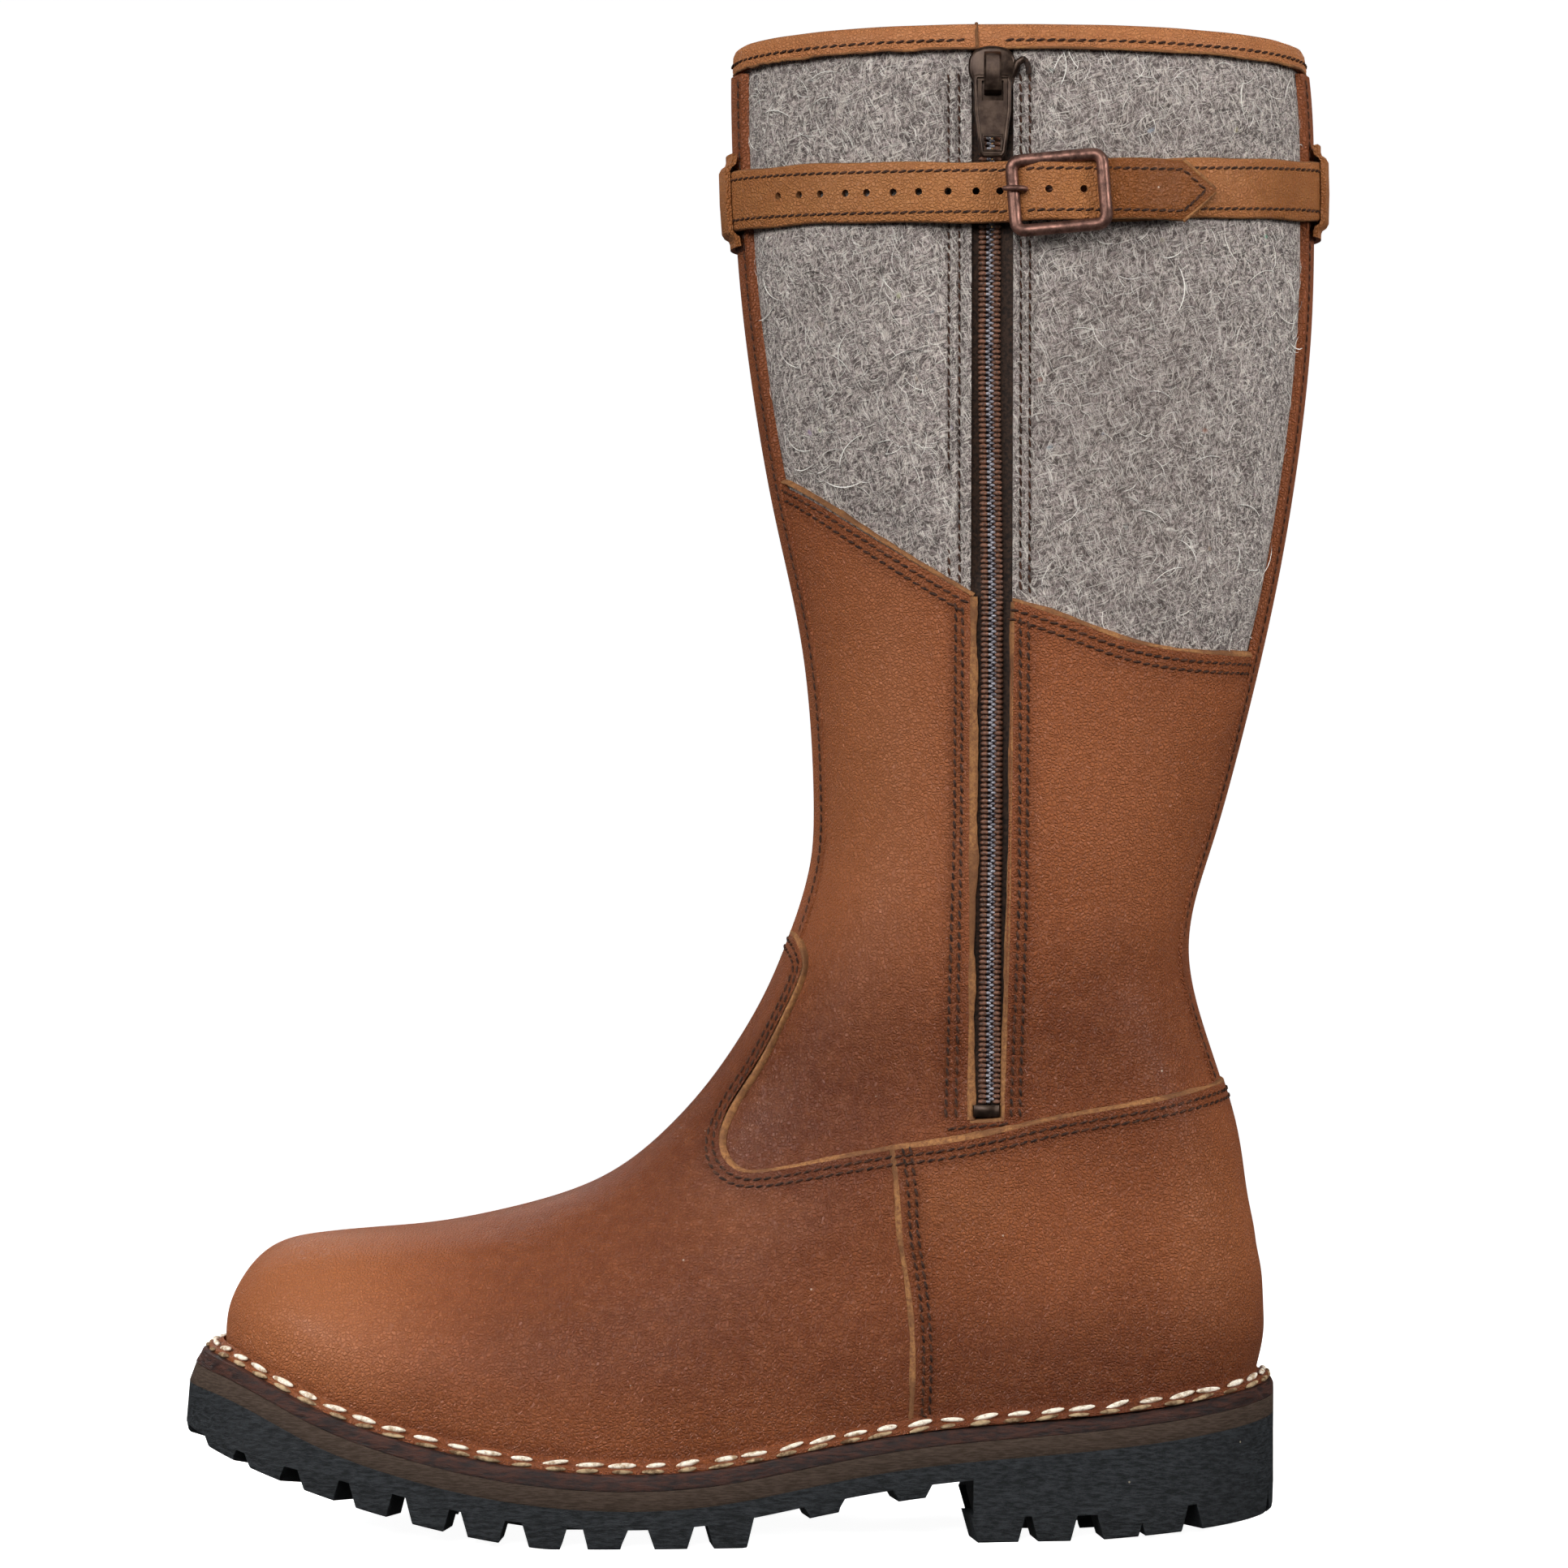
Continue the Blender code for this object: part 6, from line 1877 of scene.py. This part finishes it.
def sole_plate(top_depth, foot_depth, top_round=0.8, foot_round=0.4, top=None, foot=None):
    """A plate between two depths below the welt line, or two given heights, with rounded edges."""
    top, foot = top or below_welt(top_depth), foot or below_welt(foot_depth)
    profile = [(inset * foot_round, foot, drop * foot_round, foot_depth) for inset, drop in ROUNDING]
    profile += [(inset * top_round, top, -drop * top_round, top_depth) for inset, drop in ROUNDING[::-1]]
    columns = []
    for inset, height, shift, depth in profile:
        edge = sole_edge(depth, SOLE_TURNS, inset)
        columns.append(np.concatenate([edge, (height(edge[:, 0]) + shift)[:, None]], 1))
    opposite = -np.arange(len(SOLE_TURNS)) % len(SOLE_TURNS)
    middles = [(column + column[opposite]) / 2 for column in (columns[0], columns[-1])]
    rings = np.stack([middles[0], *columns, middles[1]], 1)
    return grid_shape(rings, close_rows=True, close_columns=False, caps=False)


welt = finish_piece("welt_strip", sole_plate(WELT_TOP, WELT_FOOT, 1.8, 0.3), [welt_hide], 50)
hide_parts("welt")
shape = sole_plate(WELT_FOOT, MIDSOLE_FOOT, 0.2, 0.1)
midsole = finish_piece("midsole_board", shape, [midsole_board], 50)
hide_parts("midsole")

# %% [markdown]
# The tread stands on three curves: the forefoot's floor with its toe spring, the waist's, which is
# clear of the ground, and the heel's, a little worn up behind. Lugs leave the sole at the roots.

# %% Floor and roots of the tread
TOE_SPRING = 27.0
FLAT_FROM_X = -54.0
HEEL_BREAST_X = 62.0
HEEL_FLAT_TO_X = 92.0
HEEL_LIFT = 5.0
HEEL_NOTCH = 7.2
TOE_X, BACK_X = SOLE_PLANS["outsole"][:2]
WAIST_DEPTH = 19.0
# How deep the forefoot's notches are, less towards the toe's tip
NOTCHES = ((-162, -150, -135, -115, -95), (2.2, 3.0, 4.2, 6.2, 7.5))
NOTCHED_TO_X = -60


def forefoot_floor(x):
    """The ground under the forefoot, rising to the toe and towards the waist."""
    reach = np.clip(FLAT_FROM_X - x, 0, None) / (FLAT_FROM_X - TOE_X)
    return TOE_SPRING * reach**1.4 + 0.22 * np.clip(x + 2, 0, None)


def heel_floor(x):
    """The heel's foot, a little worn up towards the back."""
    return HEEL_LIFT * (np.clip(x - HEEL_FLAT_TO_X, 0, None) / (BACK_X - HEEL_FLAT_TO_X)) ** 1.3


def waist_floor(x):
    """The foot of the waist's bars, clear of the ground."""
    return sole_top(x) - WAIST_DEPTH


def root(x):
    """Where the lugs leave the outsole."""
    notched = np.where(x < NOTCHED_TO_X, forefoot_floor(x) + np.interp(x, *NOTCHES), 99.0)
    return np.minimum(sole_top(x) - OUTSOLE_FOOT, notched)


def heel_root(x):
    """Where the lugs leave the heel block."""
    return heel_floor(x) + HEEL_NOTCH


print("toe spring", round(float(forefoot_floor(np.array(TOE_X))), 1), "mm")

# %% [markdown]
# A lug is a short sweep along the sole's edge, with sloping sides so that mud falls out. Studs are
# cubes, drawn in at their foot. The pieces overlap, as they would be moulded in one.

# %% Lugs and studs
LUG_DEPTH = 15.0
LUG_PLAN = 15.0
NOTCH_LEAN = 2.1
STUD_SHRINK = 0.8


def sole_turn(x):
    """Turn on the outer side where the outsole's outline reaches x."""
    turns = np.linspace(0, 0.5, 400)
    return np.interp(x, sole_edge(LUG_PLAN, turns)[:, 0], turns)


def lug(turn_from, turn_to, top, floor, lean, depth=LUG_DEPTH):
    """A lug from one turn to another at its foot, wider by the lean, in mm, at its root."""
    middle = (turn_from + turn_to) / 2
    step = sole_edge(LUG_PLAN, middle + 0.002) - sole_edge(LUG_PLAN, middle - 0.002)
    speed = np.linalg.norm(step) / 0.004
    profile = (
        (0.0, top, 0.6), (0.2, floor, 1.4), (0.4, floor, 0.4), (0.9, floor, 0.0),
        (depth, floor, 0.0), (depth, top, 0.6),
    )
    loops = []
    for inset, height, shift in profile:
        widen = lean / speed if height is top else lean / speed * shift * 0.12
        row = np.linspace(turn_from - widen, turn_to + widen, 9)
        edge = sole_edge(LUG_PLAN, row, inset)
        loops.append(np.concatenate([edge, (height(edge[:, 0]) + shift)[:, None]], 1))
    return grid_shape(np.stack(loops, 1))


def both_sides(x, width, top, floor):
    """Two lugs at a place along the sole, on its outer and inner side."""
    low, high = sole_turn(x - width / 2), sole_turn(x + width / 2)
    return [lug(low, high, top, floor, NOTCH_LEAN), lug(1 - high, 1 - low, top, floor, NOTCH_LEAN)]


def stud(x, y, long, wide, top, floor):
    """A block under the tread's middle, narrower at its foot."""
    shape = bmesh.new()
    bmesh.ops.create_cube(shape, size=1)
    for vert in shape.verts:
        shrink = STUD_SHRINK if vert.co.z < 0 else 1.0
        place_x, place_y = x + vert.co.x * long * shrink, y + vert.co.y * wide * shrink
        vert.co = to_world((place_x, place_y, (floor if vert.co.z < 0 else top)(place_x)))
    return shape


print("notches lean", NOTCH_LEAN, "mm")

# %% [markdown]
# The outsole is one plate with a row of lugs round its edge, two bars on each side of the waist,
# and plain studs under the ball of the foot.

# %% Outsole
# Places along the sole and widths
FOREFOOT_LUGS = (
    (-150, 8), (-136.4, 9), (-120.5, 8.5), (-105.5, 8.5), (-89.5, 8.5), (-74, 8.5), (-57, 8.5),
    (-40.5, 9), (-22, 9), (-5.5, 9),
)
WAIST_LUGS = ((20.5, 8), (45, 7.5))
TOE_LUG = (-0.022, 0.022)
FOREFOOT_STUDS_X = range(-128, 0, 20)
# A plain rubber edge shows its lugs' corners, so only faces that are nearly flat are smoothed
RUBBER_ANGLE = 15
tread = [sole_plate(MIDSOLE_FOOT, OUTSOLE_FOOT, 0.1, 0.05, foot=root)]
for x, width in FOREFOOT_LUGS:
    tread += both_sides(x, width, root, forefoot_floor)
for x, width in WAIST_LUGS:
    tread += both_sides(x, width, root, waist_floor)
tread.append(lug(*TOE_LUG, root, forefoot_floor, NOTCH_LEAN, 13.0))
for x in FOREFOOT_STUDS_X:
    tread += [stud(x, y, 12, 13, root, forefoot_floor) for y in (-10, 13)]
outsole = finish_piece("lugged_outsole", join_shapes(tread), [rubber], RUBBER_ANGLE)
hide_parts("outsole")

# %% [markdown]
# The heel is a block of the same outline, cut off square at its breast, with lugs of its own.

# %% Heel
HEEL_TOP = 15.4
HEEL_PLAN = 22.0
HEEL_LUGS = ((69, 11.2), (84.8, 9), (103.6, 9.6), (115.6, 10.2), (136.5, 19))
BACK_LUG = (0.478, 0.522)
HEEL_STUDS_X = (76, 98, 120)
block = sole_plate(HEEL_TOP, HEEL_PLAN, 0.02, 0.05, foot=heel_root)
whole = block.verts[:] + block.edges[:] + block.faces[:]
breast = to_world((HEEL_BREAST_X, 0, 0))
halved = bmesh.ops.bisect_plane(block, geom=whole, plane_co=breast, plane_no=(1, 0, 0), clear_inner=True)
open_edges = [item for item in halved["geom_cut"] if isinstance(item, bmesh.types.BMEdge)]
bmesh.ops.holes_fill(block, edges=open_edges, sides=0)
blocks = [block]
for x, width in HEEL_LUGS:
    blocks += both_sides(x, width, heel_root, heel_floor)
blocks.append(lug(*BACK_LUG, heel_root, heel_floor, NOTCH_LEAN, 12.0))
for x in HEEL_STUDS_X:
    blocks += [stud(x, y, 12, 10, heel_root, heel_floor) for y in (-8, 8)]
heel = finish_piece("heel_block", join_shapes(blocks), [rubber], RUBBER_ANGLE)
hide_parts("heel")

# %% [markdown]
# The upper's foot is turned out onto the welt as a flange. It is one section swept all round the
# foot, and it lies low in the crease at the welt, so it takes the full painted shade of a seam.

# %% Flange
# Round the flange's section: out from the upper's wall, and up from the welt
FLANGE_PROFILE = (
    (0.8, 3.4), (2.3, 2.3), (3.0, 1.75), (4.0, 1.55), (4.6, 1.4), (4.95, 0.9), (4.9, 0.0), (0.8, 0.0)
)


def at_foot(turn, out, up):
    """A point beside the upper's foot: out from its wall in plan, up from the welt."""
    base = form(turn, 0.0)
    flat = outward(turn, 0.02) * (1, 1, 0)
    point = base + unit(flat) * np.asarray(out)[..., None]
    point[..., 2] = sole_top(point[..., 0]) - WELT_TOP + up
    return point


turns = SOLE_TURNS[:, None]
outs, ups = np.array(FLANGE_PROFILE).T[:, None]
shape = grid_shape(at_foot(turns, outs + 0 * turns, ups), close_rows=True, caps=False)
flange = finish_piece("upper_flange", shape, [cowhide], 60)
# Painted shade: the whole flange takes a seam's full darkening
seam_dirt_and_painted_shade = flange.data.attributes.new(SEAM_SHADE, "FLOAT", "POINT")
seam_dirt_and_painted_shade.data.foreach_set("value", np.ones(len(flange.data.vertices), np.float32))

# %% [markdown]
# Two rows of thick thread go through flange and welt. The stitches are long and were pulled tight
# by hand, so each differs a little in place, size and slant from the next.

# %% Sole stitches
SOLE_STITCH_PITCH = 9.2
SOLE_STITCH_SIZE = (3.5, 0.95, 0.8)
SOLE_STITCH_UP = (0, -0.2, 1.0)
# Rows of sole stitches: distance out, height over the welt, start, size, thread and name
SOLE_SEAMS = (
    (3.2, 2.25, 0.0, 1.0, sole_thread, "sole_stitches"),
    (5.0, 0.75, 0.45, 0.85, soiled_thread, "outer_sole_stitches"),
)
for out, up, shift, size, thread, name in SOLE_SEAMS:
    path_turns = np.linspace(0, 1, 900)
    lengths = lengths_along(at_foot(path_turns, np.full(len(path_turns), out), up))
    count = int(lengths[-1] / SOLE_STITCH_PITCH)
    wanted = (np.arange(count) + shift + hand.normal(0, 0.05, count)) * lengths[-1] / count
    at = np.interp(wanted % lengths[-1], lengths, path_turns) % 1
    outs = out + hand.normal(0, 0.15, count)
    places = at_foot(at, outs, up)
    ahead = at_foot(at + 0.002, outs, up)
    lean = hand.normal(0.07, 0.06, count)[:, None] * np.array([0, 0, 1.0])
    sizes = size * hand.normal(1, (0.10, 0.12, 0.08), (count, 3))
    stitch = thread_grain(SOLE_STITCH_SIZE, 8, 8)
    ups = np.tile(SOLE_STITCH_UP, (count, 1))
    row = pressed(name, stitch, thread, places, unit(ahead - places) + lean, ups, sizes)
    print(name, count)

# %% [markdown]
# Inside, the foot stands on a leather insole board. It is a plate of the welt's outline, drawn in
# to fit between the walls, that keeps to the sole's curve.

# %% Insole
INSOLE_TOP = 3.4
INSOLE_FOOT = 0.4
INSOLE_ENDS_X = (-143.0, 135.0)
INSOLE_NARROW = 0.745
insole_faces = (below_welt(-INSOLE_TOP), below_welt(-INSOLE_FOOT))
shape = sole_plate(WELT_TOP, WELT_TOP, 0.5, 0.3, *insole_faces)
for vert in shape.verts:
    x, y, z = np.array(vert.co) / MM
    drawn_x = np.interp(x, SOLE_PLANS["welt"][:2], INSOLE_ENDS_X)
    drawn_y = MIDDLE_Y + (y - MIDDLE_Y) * INSOLE_NARROW
    vert.co = np.array((drawn_x, drawn_y, z + sole_top(drawn_x) - sole_top(x))) * MM
insole = finish_piece("insole_board", shape, [lining_hide], 50)
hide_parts("insole")

# %% [markdown]
# The studio is a round hall of white paper: a level floor that sweeps up into a wall. It is matt
# paper from the roll and glows evenly, so it looks the same from every side. A profile spun about
# the upright axis makes it.

# %% Paper sweep
PAPER_GLOW = 0.96
# Distance from the middle and height, in metres
SWEEP = ((0.0, 0.0), (3.0, 0.0), (3.8, 0.12), (4.4, 0.6), (4.7, 1.4), (4.8, 5.0))
shape = bmesh.new()
line = [shape.verts.new((out, 0, up)) for out, up in SWEEP]
edges = [shape.edges.new(pair) for pair in zip(line, line[1:])]
bmesh.ops.spin(
    shape, geom=line + edges, cent=(0, 0, 0), axis=(0, 0, 1), angle=2 * math.pi, steps=64, use_merge=True
)
bmesh.ops.remove_doubles(shape, verts=shape.verts, dist=1e-4)
bmesh.ops.recalc_face_normals(shape, faces=shape.faces)
bmesh.ops.reverse_faces(shape, faces=shape.faces)
paper = mottled(
    "white_paper_sweep", 400, 2, "#f0f0f0", "#f4f4f4", (0.3, 0.7), Roughness=0.9, Specular_IOR_Level=0.1,
    Emission_Color=ink("#ffffff"), Emission_Strength=PAPER_GLOW,
)
sweep = finish_piece("paper_sweep", shape, [paper], 0, body=None)
# Black flags would keep the paper's glare off the boot. Here it is left out of what lights the boot
sweep.visible_glossy = False
sweep.visible_diffuse = False
print("paper sweep", len(sweep.data.polygons), "faces")

# %% [markdown]
# Softboxes stand close and high in front, so that light falls off towards the sole, and two more
# light the boot's far side. A fill light is soft enough to have no highlight of its own, so it is
# kept out of what the boot mirrors. A sheen strip is the opposite: seen only as a highlight.

# %% Lights
WORLD_GLOW = 0.06
LIGHT_COLUMNS = "name place aim size spread power kind".split()
LIGHTS = (
    ("high_softbox", (-0.2, -1.2, 0.85), (0.05, 0.0, 0.36), (0.6, 0.6), 60, 1.45, "full"),
    ("left_softbox", (-1.0, -0.9, 0.9), (0.02, 0.0, 0.33), (0.6, 0.6), 50, 1.02, "full"),
    ("right_softbox", (1.1, -0.6, 0.6), (0.13, 0.0, 0.16), (0.3, 0.6), 46, 0.98, "full"),
    ("toe_light", (-1.0, -0.5, 0.7), (-0.14, 0.0, 0.07), (0.3, 0.3), 24, 0.30, "full"),
    ("overhead", (-0.1, 0.1, 1.5), (-0.05, 0.0, 0.15), (0.8, 0.6), 60, 0.2, "full"),
    ("toe_rim_light", (-0.35, 0.9, 0.6), (-0.115, 0.0, 0.08), (0.25, 0.25), 12, 0.014, "full"),
    ("left_strip", (-1.0, -0.7, 0.3), (0.03, 0.0, 0.2), (0.3, 0.8), 60, 0.5, "sheen"),
    ("right_fill", (0.9, -0.8, 0.6), (0.15, 0.0, 0.30), (0.4, 0.4), 40, 0.09, "fill"),
    ("far_left_softbox", (-0.7, 1.2, 0.8), (0.02, 0.0, 0.24), (0.6, 0.6), 60, 1.2, "fill"),
    ("far_right_softbox", (0.9, 1.1, 0.8), (0.05, 0.0, 0.24), (0.6, 0.6), 60, 1.2, "fill"),
)
for row in LIGHTS:
    light = dict(zip(LIGHT_COLUMNS, row))
    lamp = bpy.data.lights.new(light["name"], "AREA")
    lamp.shape = "RECTANGLE"
    lamp.size, lamp.size_y = light["size"]
    lamp.spread = math.radians(light["spread"])
    lamp.energy = light["power"]
    holder = bpy.data.objects.new(light["name"], lamp)
    bpy.context.scene.collection.objects.link(holder)
    holder.location = light["place"]
    holder.visible_glossy = light["kind"] != "fill"
    holder.visible_diffuse = light["kind"] != "sheen"
    sight = Vector(light["aim"]) - holder.location
    holder.rotation_euler = sight.to_track_quat("-Z", "Y").to_euler()
world = bpy.data.worlds.new("studio")
bpy.context.scene.world = world
world.use_nodes = True
world.node_tree.nodes["Background"].inputs["Color"].default_value = ink("#ffffff")
world.node_tree.nodes["Background"].inputs["Strength"].default_value = WORLD_GLOW
print("lights", [row[0] for row in LIGHTS])
